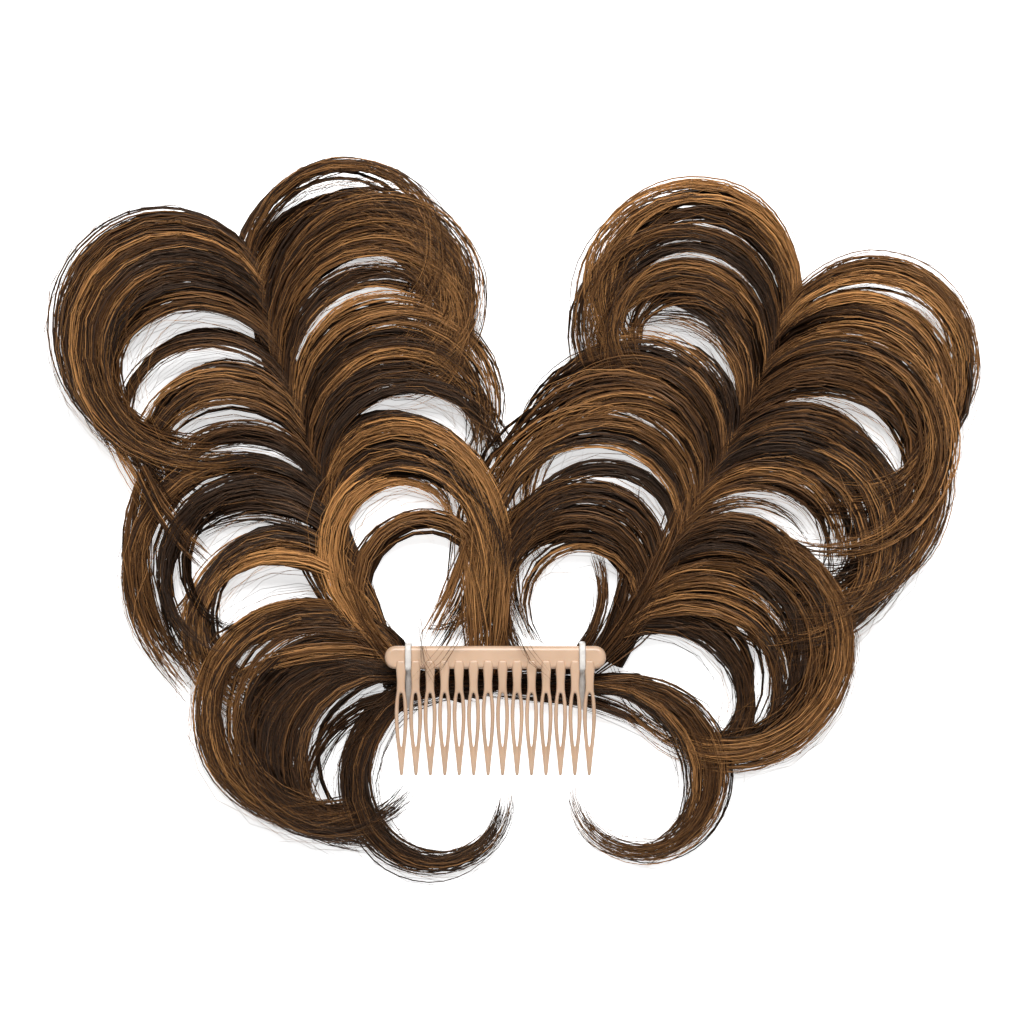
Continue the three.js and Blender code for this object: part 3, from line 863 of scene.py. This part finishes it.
def strand_draws(tree, curves, seed):
    """Draws the random numbers of each strand and numbers the strands."""
    capture = add(tree, "GeometryNodeCaptureAttribute", {"Geometry": curves}, domain="CURVE")
    for i, (name, (low, high)) in enumerate(STRAND_DRAWS.items()):
        capture.capture_items.new("FLOAT", name)
        plug(tree, capture.inputs[name], drawn(tree, low, high, calc(tree, "ADD", seed, SEED_STEP * i)))
    capture.capture_items.new("INT", "number")
    plug(tree, capture.inputs["number"], tree.nodes.new("GeometryNodeInputIndex").outputs[0])
    return capture.outputs


def strand_spread(tree, draws):
    """Where a strand lies within its clump: across it, and up within its rounded depth."""
    drift = calc(tree, "SUBTRACT", read(tree, "share"), CLOSEST_AT)
    across = calc(tree, "MULTIPLY_ADD", draws["drift"], drift, draws["across"])
    sideways = calc(tree, "MULTIPLY", across, read(tree, "half_width"))
    aside = calc(tree, "POWER", draws["across"], 2.0)
    room = calc(tree, "SQRT", calc(tree, "SUBTRACT", CLUMP_ROOM, aside))
    upwards = calc(tree, "MULTIPLY", calc(tree, "MULTIPLY", draws["rise"], room), read(tree, "half_depth"))
    beside = scaled(tree, read(tree, "side", "FLOAT_VECTOR"), sideways)
    return vector_calc(tree, "ADD", beside, vector(tree, {"Z": upwards}))


def strand_wander(tree, draws, given):
    """A slow wander off the guide, and curls a little wider or tighter than the guide's."""
    share = read(tree, "share")
    place = tree.nodes.new("GeometryNodeInputPosition").outputs[0]
    scale = calc(tree, "DIVIDE", 1.0, given["Frizz size"])
    inputs = {"Vector": place, "W": draws["phase"], "Scale": scale, "Detail": 1.0}
    noise = add(tree, "ShaderNodeTexNoise", inputs, noise_dimensions="4D")
    lean = vector_calc(tree, "SUBTRACT", noise.outputs["Color"], (0.5, 0.5, 0.5))
    level = vector_calc(tree, "MULTIPLY", lean, WANDER_SHAPE)
    reach = calc(tree, "MULTIPLY_ADD", share, WANDER_GAIN, ROOT_WANDER)
    reach = calc(tree, "MULTIPLY", given["Frizz"], reach)
    chord = vector_calc(tree, "SUBTRACT", place, read(tree, "root_place", "FLOAT_VECTOR"))
    wider = calc(tree, "MULTIPLY", calc(tree, "MULTIPLY", draws["stretch"], given["Stretch"]), share)
    return vector_calc(tree, "ADD", scaled(tree, level, reach), scaled(tree, chord, wider))


def strand_lines(tree, draws, given):
    """Middle lines of the strands: moved off their guides, cut to uneven lengths and turned."""
    offset = vector_calc(tree, "ADD", strand_spread(tree, draws), strand_wander(tree, draws, given))
    offset = vector_calc(tree, "ADD", offset, vector(tree, {"Z": given["Lift"]}))
    moved = add(tree, "GeometryNodeSetPosition", {"Geometry": draws["Geometry"], "Offset": offset})
    lost = calc(tree, "MULTIPLY", given["Loose ends"], calc(tree, "POWER", draws["short"], SHORT_POWER))
    end = calc(tree, "SUBTRACT", 1.0, lost)
    trimmed = add(tree, "GeometryNodeTrimCurve", {"Curve": moved.outputs[0], "End": end})
    level = add(tree, "GeometryNodeSetCurveNormal", {"Curve": trimmed.outputs[0]}, mode="Z_UP")
    twist = calc(tree, "MULTIPLY", draws["twist"], given["Tilt"])
    return add(tree, "GeometryNodeSetCurveTilt", {"Curve": level.outputs[0], "Tilt": twist}).outputs[0]


def strand_tone(tree, draws, given):
    """Tone of a strand: its clump's, plus the piece's lighter tone as painted light on hairs that lie on
    top, darker low in the clump and lighter high in it as painted shade, and a little of its own.
    """
    # Painted light: the lighter tone of the fine and stray hairs that lie on top
    tone = calc(tree, "ADD", read(tree, "tone"), given["Tone"])
    # Painted shade and light by a strand's height in its clump
    tone = calc(tree, "MULTIPLY_ADD", draws["rise"], RISE_PAINTED_SHADE, tone)
    return calc(tree, "MULTIPLY_ADD", draws["shade"], STRAND_TONE, tone)


def strand_section(tree, given):
    """A flat three-sided section, and the place of its points around it."""
    ring = add(tree, "GeometryNodeCurvePrimitiveCircle", {"Resolution": SECTION_SIDES, "Radius": 1.0})
    around = add(tree, "GeometryNodeCaptureAttribute", {"Geometry": ring.outputs["Curve"]}, domain="POINT")
    around.capture_items.new("FLOAT", "around")
    plug(tree, around.inputs["around"], tree.nodes.new("GeometryNodeInputIndex").outputs[0])
    size = vector(tree, {"X": given["Rise"], "Y": SECTION_WIDTH, "Z": 1.0})
    flat = add(tree, "GeometryNodeTransform", {"Geometry": around.outputs["Geometry"], "Scale": size})
    flat.inputs["Rotation"].default_value = (0, 0, math.pi / 2)
    return flat.outputs[0], around.outputs["around"]


def strand_map(tree, mesh, around, columns, strands):
    """A flat map with a short row for each strand, several rows side by side."""
    size = add(tree, "GeometryNodeAttributeDomainSize", {0: strands}, component="CURVE")
    rows = calc(tree, "CEIL", calc(tree, "DIVIDE", size.outputs["Spline Count"], columns))
    number = read(tree, "number")
    row = calc(tree, "FLOOR", calc(tree, "DIVIDE", number, columns))
    column = calc(tree, "MODULO", number, columns)
    start = calc(tree, "ADD", column, MAP_START)
    across = calc(tree, "MULTIPLY_ADD", read(tree, "along"), MAP_LENGTH, start)
    upwards = calc(tree, "MULTIPLY_ADD", around, MAP_STEP, calc(tree, "ADD", row, MAP_FOOT))
    place = vector(tree, {
        "X": calc(tree, "DIVIDE", across, columns),
        "Y": calc(tree, "DIVIDE", upwards, rows),
    })
    return keep(tree, mesh, "OFBake", place, "FLOAT2", "CORNER")


def strand_tree():
    """Strands along guides: spread through each clump, cut to uneven lengths and thickened."""
    numbers = STRAND_COLUMNS[1:] + ("Frizz size", "Map columns")
    tree, given, end = new_tree("hair_strands", ("Count", "Seed"), numbers)
    curves = add(tree, "GeometryNodeMeshToCurve", {"Mesh": given["Geometry"]}).outputs[0]
    copies = add(tree, "GeometryNodeDuplicateElements", {"Geometry": curves, "Amount": given["Count"]},
                 domain="SPLINE")
    draws = strand_draws(tree, copies.outputs["Geometry"], given["Seed"])
    strands = strand_lines(tree, draws, given)
    along = tree.nodes.new("GeometryNodeSplineParameter").outputs["Factor"]
    kept = {"tone": strand_tone(tree, draws, given), "along": along, "number": draws["number"]}
    for name, value in kept.items():
        strands = keep(tree, strands, name, value)
    taper = calc(tree, "MULTIPLY_ADD", calc(tree, "POWER", along, TAPER_POWER), TIP_TAPER, 1.0)
    size = calc(tree, "MULTIPLY", calc(tree, "MULTIPLY", given["Half width"], draws["thick"]), taper)
    section, around = strand_section(tree, given)
    parts = {"Curve": strands, "Profile Curve": section, "Scale": size, "Fill Caps": True}
    mesh = add(tree, "GeometryNodeCurveToMesh", parts).outputs[0]
    mesh = keep(tree, mesh, "around", around)
    mesh = strand_map(tree, mesh, around, given["Map columns"], strands)
    return end_tree(tree, end, mesh, given["Material"])


# Materials
HAIR_TONES = [
    (0.0, (0.009, 0.004, 0.002)),
    (0.3, (0.062, 0.027, 0.011)),
    (0.6, (0.200, 0.090, 0.032)),
    (1.0, (0.620, 0.300, 0.105)),
]
HAIR_COOL = (0.08, 0.053, 0.04, 1)
HAIR_FINISH = {"Roughness": 0.32, "Specular IOR Level": 0.22, "Specular Tint": (1, 0.8, 0.62, 1)}
COOL_SHARE = 0.55
TONE_BELOW = 0.25
TIP_TONE = 0.32

# Streaks in a strand: apart from strand to strand, round it and along it, in tone and in relief
STREAKS_APART = 13.7
STREAKS_ROUND = 1.4
STREAKS_ALONG = 3.0
STREAK_DETAIL = 2.0
STREAK_TONE = 0.9
STREAK_RELIEF = {"Strength": 0.5, "Distance": 0.0004}

# Plastics: clouds of two colours, a fine grain, and values that are the same all over
CLOUD_RANGE = {"From Min": 0.3, "From Max": 0.7}
GRAIN_RELIEF = {"Strength": 0.05, "Distance": 0.0003}
COMB_CLOUDS = {
    "Dark": (0.45, 0.3, 0.2, 1),
    "Pale": (0.52, 0.35, 0.238, 1),
    "Cloud scale": 90.0,
    "Grain scale": 1800.0,
}
COMB_FINISH = {"Roughness": 0.38, "Subsurface Weight": 0.15, "Subsurface Radius": (0.004, 0.002, 0.001)}
TIE_CLOUDS = {
    "Dark": (0.52, 0.49, 0.46, 1),
    "Pale": (0.64, 0.61, 0.57, 1),
    "Cloud scale": 400.0,
    "Grain scale": 3000.0,
}
TIE_FINISH = {"Roughness": 0.25}
# Floor glow: painted light that fills the shade under and between the curls
GLOWING_FLOOR_FINISH = {
    "Base Color": (0.9, 0.9, 0.9, 1),
    "Roughness": 0.9,
    "Specular IOR Level": 0.1,
    "Emission Color": (1, 1, 1, 1),
    "Emission Strength": 0.68,
}


def set_values(node, values):
    """Sets a node's inputs to plain values."""
    for label, value in values.items():
        node.inputs[label].default_value = value


def new_material(name, finish):
    """A material, its tree and its shader, which has the values that are the same all over."""
    material = bpy.data.materials.new(name)
    material.use_nodes = True
    tree = material.node_tree
    shader = tree.nodes["Principled BSDF"]
    set_values(shader, finish)
    return material, tree, shader


def ramp(tree, factor, stops):
    """A colour ramp with (place, colour) stops."""
    node = add(tree, "ShaderNodeValToRGB", {"Fac": factor})
    elements = node.color_ramp.elements
    while len(elements) < len(stops):
        elements.new(0.5)
    for element, (place, colour) in zip(elements, stops):
        element.position = place
        element.color = (*colour, 1)
    return node.outputs["Color"]


def blended(tree, factor, first, second):
    """Two colours mixed in a node tree."""
    return add(tree, "ShaderNodeMix", {"Factor": factor, 6: first, 7: second}, data_type="RGBA").outputs[2]


def carried(tree, name):
    """A value that a mesh carries at its points."""
    return add(tree, "ShaderNodeAttribute", attribute_name=name).outputs["Fac"]


def hair_streaks(tree, along):
    """Fine streaks that run along each strand, other ones in each."""
    round_it = calc(tree, "MULTIPLY", carried(tree, "around"), STREAKS_ROUND)
    lane = calc(tree, "MULTIPLY_ADD", carried(tree, "number"), STREAKS_APART, round_it)
    place = vector(tree, {"X": lane, "Y": calc(tree, "MULTIPLY", along, STREAKS_ALONG)})
    noise = add(tree, "ShaderNodeTexNoise", {"Vector": place, "Scale": 1.0, "Detail": STREAK_DETAIL},
                noise_dimensions="2D")
    return noise.outputs["Fac"]


def hair_material():
    """Brown synthetic hair: each strand has its own tone, in fine streaks, lighter at the tip."""
    material, tree, shader = new_material("curled_hair", HAIR_FINISH)
    along = carried(tree, "along")
    streaks = hair_streaks(tree, along)
    lift = calc(tree, "MULTIPLY", calc(tree, "SUBTRACT", streaks, 0.5), STREAK_TONE)
    tone = calc(tree, "SUBTRACT", carried(tree, "tone"), TONE_BELOW)
    tone = calc(tree, "MULTIPLY_ADD", along, TIP_TONE, tone)
    colour = ramp(tree, calc(tree, "ADD", tone, lift), HAIR_TONES)
    cool = calc(tree, "MULTIPLY", carried(tree, "cool"), COOL_SHARE)
    plug(tree, shader.inputs["Base Color"], blended(tree, cool, colour, HAIR_COOL))
    ridges = add(tree, "ShaderNodeBump", {"Height": streaks, **STREAK_RELIEF})
    plug(tree, shader.inputs["Normal"], ridges.outputs["Normal"])
    return material


def plastic_group():
    """Node group for plastics: a colour clouded between two, and a fine grain for the normal."""
    group = bpy.data.node_groups.new("clouded_plastic", "ShaderNodeTree")
    sockets = [
        ("Dark", "INPUT", "Color"),
        ("Pale", "INPUT", "Color"),
        ("Cloud scale", "INPUT", "Float"),
        ("Grain scale", "INPUT", "Float"),
        ("Colour", "OUTPUT", "Color"),
        ("Normal", "OUTPUT", "Vector"),
    ]
    for label, way, kind in sockets:
        group.interface.new_socket(label, in_out=way, socket_type="NodeSocket" + kind)
    given = group.nodes.new("NodeGroupInput").outputs
    end = group.nodes.new("NodeGroupOutput")
    place = add(group, "ShaderNodeTexCoord").outputs["Object"]
    cloud = add(group, "ShaderNodeTexNoise", {"Vector": place, "Scale": given["Cloud scale"]})
    share = add(group, "ShaderNodeMapRange", {"Value": cloud.outputs["Fac"], **CLOUD_RANGE})
    plug(group, end.inputs["Colour"], blended(group, share.outputs[0], given["Dark"], given["Pale"]))
    grain = add(group, "ShaderNodeTexNoise", {"Vector": place, "Scale": given["Grain scale"]})
    relief = add(group, "ShaderNodeBump", {"Height": grain.outputs["Fac"], **GRAIN_RELIEF})
    plug(group, end.inputs["Normal"], relief.outputs["Normal"])
    return group


def plastic_material(name, group, clouds, finish):
    """A plastic with the shared clouds and grain."""
    material, tree, shader = new_material(name, finish)
    look = add(tree, "ShaderNodeGroup", node_tree=group)
    set_values(look, clouds)
    plug(tree, shader.inputs["Base Color"], look.outputs["Colour"])
    plug(tree, shader.inputs["Normal"], look.outputs["Normal"])
    return material


# Comb
def tine_points():
    """Points of one tine, in an upper and a lower row at each station."""
    points = []
    for row, (along, half, slit) in enumerate(TINE_STATIONS):
        bend = (max(along, 0) / TINE_LENGTH) ** TINE_BEND_POWER
        top = BAR_TOP + TINE_RISE - TINE_DROP * bend
        thick = mix(TINE_THICKNESS, TINE_TIP_THICKNESS, max(along, 0) / TINE_LENGTH)
        dimple = DIMPLE_DEPTH if row in DIMPLE_ROWS else 0
        upper = [(-half, top), (-slit, top - dimple), (slit, top - dimple), (half, top)]
        lower = [(x, top - thick) for x, _ in upper]
        points += [(x * MM, (BAR_FOOT - along) * MM, z * MM) for x, z in upper + lower]
    return points


def tine_faces():
    """Faces of one tine: upper, lower, and walls wherever no solid cell lies beside, as in the slit."""
    rows = range(len(TINE_STATIONS) - 1)
    cells = [(row, column) for row in rows for column in range(TINE_COLUMNS)]
    solid = [cell for cell in cells if cell[0] not in SLIT_ROWS or cell[1] != SLIT_COLUMN]

    def corner(place, layer):
        return (2 * place[0] + layer) * (TINE_COLUMNS + 1) + place[1]

    faces = []
    for row, column in solid:
        ring = [(row, column), (row + 1, column), (row + 1, column + 1), (row, column + 1)]
        faces.append([corner(place, 0) for place in ring])
        faces.append([corner(place, 1) for place in ring[::-1]])
        beside = [(row, column - 1), (row + 1, column), (row, column + 1), (row - 1, column)]
        for cell, here, after in zip(beside, ring, ring[1:] + ring[:1]):
            if cell not in solid:
                faces.append([corner(after, 0), corner(here, 0), corner(here, 1), corner(after, 1)])
    return faces


def tine_row_tree():
    """A row of tines along the bar, each smoothed from its cage."""
    tree, given, end = new_tree("tine_row", ("Count", "Smoothing"), ("Pitch", "First"))
    smoothing = {"Mesh": given["Geometry"], "Level": given["Smoothing"]}
    tine = add(tree, "GeometryNodeSubdivisionSurface", smoothing).outputs[0]
    row = add(tree, "GeometryNodeMeshLine", {
        "Count": given["Count"],
        "Start Location": vector(tree, {"X": given["First"]}),
        "Offset": vector(tree, {"X": given["Pitch"]}),
    })
    tines = add(tree, "GeometryNodeInstanceOnPoints", {"Points": row.outputs[0], "Instance": tine})
    return end_tree(tree, end, tines.outputs[0], given["Material"])


def bar_ring(inset, z):
    """Points round the bar's outline, moved inwards, at a height."""
    radius = BAR_CORNER - inset
    reach_x = BAR["length"] / 2 - BAR_CORNER
    reach_y = BAR["height"] / 2 - BAR_CORNER
    ring = []
    for sign_x, sign_y, first in ((1, -1, -90), (1, 1, 0), (-1, 1, 90), (-1, -1, 180)):
        for i in range(BAR_CORNER_STEPS + 1):
            angle = math.radians(first + 90 * i / BAR_CORNER_STEPS)
            x = BAR["x"] + sign_x * reach_x + radius * math.cos(angle)
            y = BAR["y"] + sign_y * reach_y + radius * math.sin(angle)
            ring.append((x * MM, y * MM, z * MM))
    return ring


def bar_mesh():
    """The comb's bar: a flat bar with round corners and rounded edges."""
    quarter = [math.radians(90 * i / BAR_EDGE_STEPS) for i in range(BAR_EDGE_STEPS + 1)]
    edge = [(BAR_FLAT_INSET, 0)] + [(1 - math.sin(angle), 1 - math.cos(angle)) for angle in quarter]
    rings = [bar_ring(BAR_ROUNDING * inset, BAR_UNDERSIDE + BAR_ROUNDING * rise) for inset, rise in edge]
    rings += [bar_ring(BAR_ROUNDING * inset, BAR_TOP - BAR_ROUNDING * drop) for inset, drop in edge[::-1]]
    count = len(rings[0])
    last = count * (len(rings) - 1)
    faces = [list(range(count))[::-1], list(range(last, last + count))]
    for base in range(0, last, count):
        for i in range(count):
            after = (i + 1) % count
            faces.append([base + i, base + after, base + count + after, base + count + i])
    mesh = bpy.data.meshes.new("comb_bar")
    mesh.from_pydata([point for ring in rings for point in ring], [], faces)
    for face in mesh.polygons:
        face.use_smooth = True
    return mesh


def build_comb(material):
    """The comb's bar and its row of tines."""
    bar = linked("comb_bar", bar_mesh())
    bar.data.materials.append(material)
    cage = bpy.data.meshes.new("tine_cage")
    cage.from_pydata(tine_points(), [], tine_faces())
    tines = made_mesh("comb_tines", cage, tine_row_tree(), {
        "Count": TINE_COUNT,
        "Pitch": TINE_PITCH * MM,
        "First": (BAR["x"] - TINE_PITCH * (TINE_COUNT - 1) / 2) * MM,
        "Smoothing": TINE_SMOOTHING,
        "Material": material,
    })
    for piece in (bar, tines):
        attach(piece, "root")
        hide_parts("comb")


# Ties
def strap_tree():
    """A flat strap with round edges along a closed loop."""
    tree, given, end = new_tree("tie_strap", ("Steps", "Edge points"), ("Width", "Thickness"))
    loop = add(tree, "GeometryNodeMeshToCurve", {"Mesh": given["Geometry"]}).outputs[0]
    typed = add(tree, "GeometryNodeCurveSplineType", {"Curve": loop}, spline_type="CATMULL_ROM").outputs[0]
    spaced = add(tree, "GeometryNodeResampleCurve", {"Curve": typed, "Count": given["Steps"]}).outputs[0]
    aligned = add(tree, "GeometryNodeSetCurveNormal", {"Curve": spaced}, mode="Z_UP").outputs[0]
    circle = {"Resolution": given["Edge points"], "Radius": 0.5}
    ring = add(tree, "GeometryNodeCurvePrimitiveCircle", circle).outputs[0]
    size = vector(tree, {"X": given["Width"], "Y": given["Thickness"], "Z": 1.0})
    flat = add(tree, "GeometryNodeTransform", {"Geometry": ring, "Scale": size}).outputs[0]
    strap = add(tree, "GeometryNodeCurveToMesh", {"Curve": aligned, "Profile Curve": flat}).outputs[0]
    return end_tree(tree, end, strap, given["Material"])


def build_ties(material):
    """The two ties over the comb's bar."""
    tree = strap_tree()
    count = len(TIE_STOPS)
    edges = [(i, (i + 1) % count) for i in range(count)]
    for side, x in TIE_X.items():
        stops = bpy.data.meshes.new("tie_stops")
        stops.from_pydata([(x * MM, y * MM, z * MM) for y, z in TIE_STOPS], edges, [])
        tie = made_mesh("tie_" + side, stops, tree, {
            "Width": TIE_WIDTH * MM,
            "Thickness": TIE_THICKNESS * MM,
            "Steps": TIE_STEPS,
            "Edge points": TIE_EDGE_POINTS,
            "Material": material,
        })
        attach(tie, "root")
        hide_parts("comb_tie_" + side)


# Hair pieces: each wing's rows of curls, with the run that a row grows from, the side that it turns
# to, its table, and the bundles that lie on it
WINGS = {
    "left": [
        ("crown", (LEFT_SPINE, 1, LEFT_CROWN), []),
        ("side", (LEFT_SPINE, 1, LEFT_SIDE), LEFT_EDGE),
        ("inner", (LEFT_SPINE, -1, LEFT_INNER), LEFT_FOOT + MIDDLE),
        ("lower", (LEFT_BAND, 1, LEFT_LOWER), LEFT_HOOK),
    ],
    "right": [
        ("inner", (RIGHT_SPINE, 1, RIGHT_INNER), RIGHT_FOOT),
        ("crown", (RIGHT_SPINE, -1, RIGHT_CROWN), []),
        ("side", (RIGHT_SPINE, -1, RIGHT_SIDE), []),
        ("lower", (RIGHT_BAND, -1, RIGHT_LOWER), BAND),
    ],
}
SINGLE_HAIRS = {"left": CROSSING, "right": []}
SPARE_FIELDS = ("side", "root_place", "half_width", "half_depth", "share")

# Seeds: the step from row to row, and what each kind of hair adds to its row's
ROW_SEED = 100
UNDER_GUIDE_SEED = 30
FINE_SEED = 50
UNDER_SEED = 60
STRAY_GUIDE_SEED = 70
STRAY_SEED = 80


def hair_piece(name, node, guides, row, tree, seed, material):
    """Strands of one kind along guides, as one piece."""
    values = dict(zip(STRAND_COLUMNS, row))
    for label in STRAND_LENGTHS:
        values[label] *= MM
    values["Frizz size"] = FRIZZ_SIZE * MM
    values["Map columns"] = MAP_COLUMNS
    values["Seed"] = seed
    values["Material"] = material
    piece = made_mesh(name, guides.mesh(name + "_guides"), tree, values)
    for field in SPARE_FIELDS:
        if field in piece.data.attributes:
            piece.data.attributes.remove(piece.data.attributes[field])
    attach(piece, "root")
    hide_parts(node)


def build_row(name, node, group, bundle, tree, seed, material):
    """A row of curls as three pieces: ribbons, fine hairs and a layer beneath, darkened as painted shade.
    """
    broad = curl_guides([group], seed, add_curl, BEND_ERROR)
    fine = curl_guides([group], seed, add_curl, FINE_BEND_ERROR)
    under = curl_guides([group], seed + UNDER_GUIDE_SEED, add_under_layer, UNDER_BEND_ERROR)
    add_bundle(broad, bundle, seed)
    add_bundle(fine, bundle, seed)
    hair_piece(name + "_curls", node, broad, RIBBONS, tree, seed, material)
    hair_piece(name + "_fine_hair", node, fine, FINE_HAIRS, tree, seed + FINE_SEED, material)
    hair_piece(name + "_under_layer", node, under, UNDER_RIBBONS, tree, seed + UNDER_SEED, material)


def build_hair(material):
    """The rows of curls of both wings, and their stray hairs."""
    tree = strand_tree()
    seed = 0
    for wing, rows in WINGS.items():
        node = wing + "_curls"
        for place, group, bundle in rows:
            seed += ROW_SEED
            build_row("_".join((wing, place)), node, group, bundle, tree, seed, material)
        groups = [group for _, group, _ in rows]
        strays = curl_guides(groups, seed + STRAY_GUIDE_SEED, add_strays, FINE_BEND_ERROR)
        add_bundle(strays, SINGLE_HAIRS[wing], seed)
        hair_piece(wing + "_stray_hair", node, strays, STRAY_HAIRS, tree, seed + STRAY_SEED, material)


# Stage, light and camera, in metres: each soft box's place, size and power
FLOOR_HALF = 3.0
SKY_STRENGTH = 0.12
SOFT_BOXES = {
    "top_box": ((0.1, 0.8, 1.2), (1.0, 0.5), 35),
    "bottom_box": ((-0.3, -0.9, 1.1), (1.2, 0.6), 6),
}


def build_stage():
    """Plain pale floor that glows a little, painted light that fills the shade the hair casts on it."""
    mesh = bpy.data.meshes.new("floor")
    corners = [(FLOOR_HALF * x, FLOOR_HALF * y, 0) for x, y in ((-1, -1), (1, -1), (1, 1), (-1, 1))]
    mesh.from_pydata(corners, [], [(0, 1, 2, 3)])
    mesh.materials.append(new_material("glowing_pale_floor", GLOWING_FLOOR_FINISH)[0])
    linked("floor", mesh)


def soft_box(name, place, size, power):
    """A soft box that faces the hairpiece."""
    lamp = bpy.data.lights.new(name, "AREA")
    lamp.shape = "RECTANGLE"
    lamp.size, lamp.size_y = size
    lamp.energy = power
    made = linked(name, lamp)
    made.location = place
    made.rotation_mode = "QUATERNION"
    made.rotation_quaternion = (-Vector(place)).to_track_quat("-Z", "Y")


def build_light():
    """Even pale surroundings and soft boxes beyond the top and bottom of the picture."""
    world = bpy.data.worlds.new("studio")
    world.use_nodes = True
    set_values(world.node_tree.nodes["Background"], {"Color": (1, 1, 1, 1), "Strength": SKY_STRENGTH})
    bpy.context.scene.world = world
    for name, (place, size, power) in SOFT_BOXES.items():
        soft_box(name, place, size, power)
    bpy.context.scene.view_settings.view_transform = "Standard"


def build_camera():
    """Camera straight above, framed as the photograph."""
    data = bpy.data.cameras.new("camera")
    data.sensor_width = SENSOR
    data.lens = SENSOR * (CAMERA_HEIGHT - HAIR_LEVEL * MM) / (PHOTO_SIDE * PHOTO_SCALE * MM)
    data.clip_end = CLIP_END
    camera = linked("camera", data)
    middle = (PHOTO_SIDE / 2 - ORIGIN_PIXEL) * PHOTO_SCALE * MM
    camera.location = (middle, -middle, CAMERA_HEIGHT)
    bpy.context.scene.camera = camera


build_stage()
build_light()
build_camera()
build_hair(hair_material())
plastic = plastic_group()
build_comb(plastic_material("moulded_peach_plastic", plastic, COMB_CLOUDS, COMB_FINISH))
build_ties(plastic_material("milky_strap", plastic, TIE_CLOUDS, TIE_FINISH))
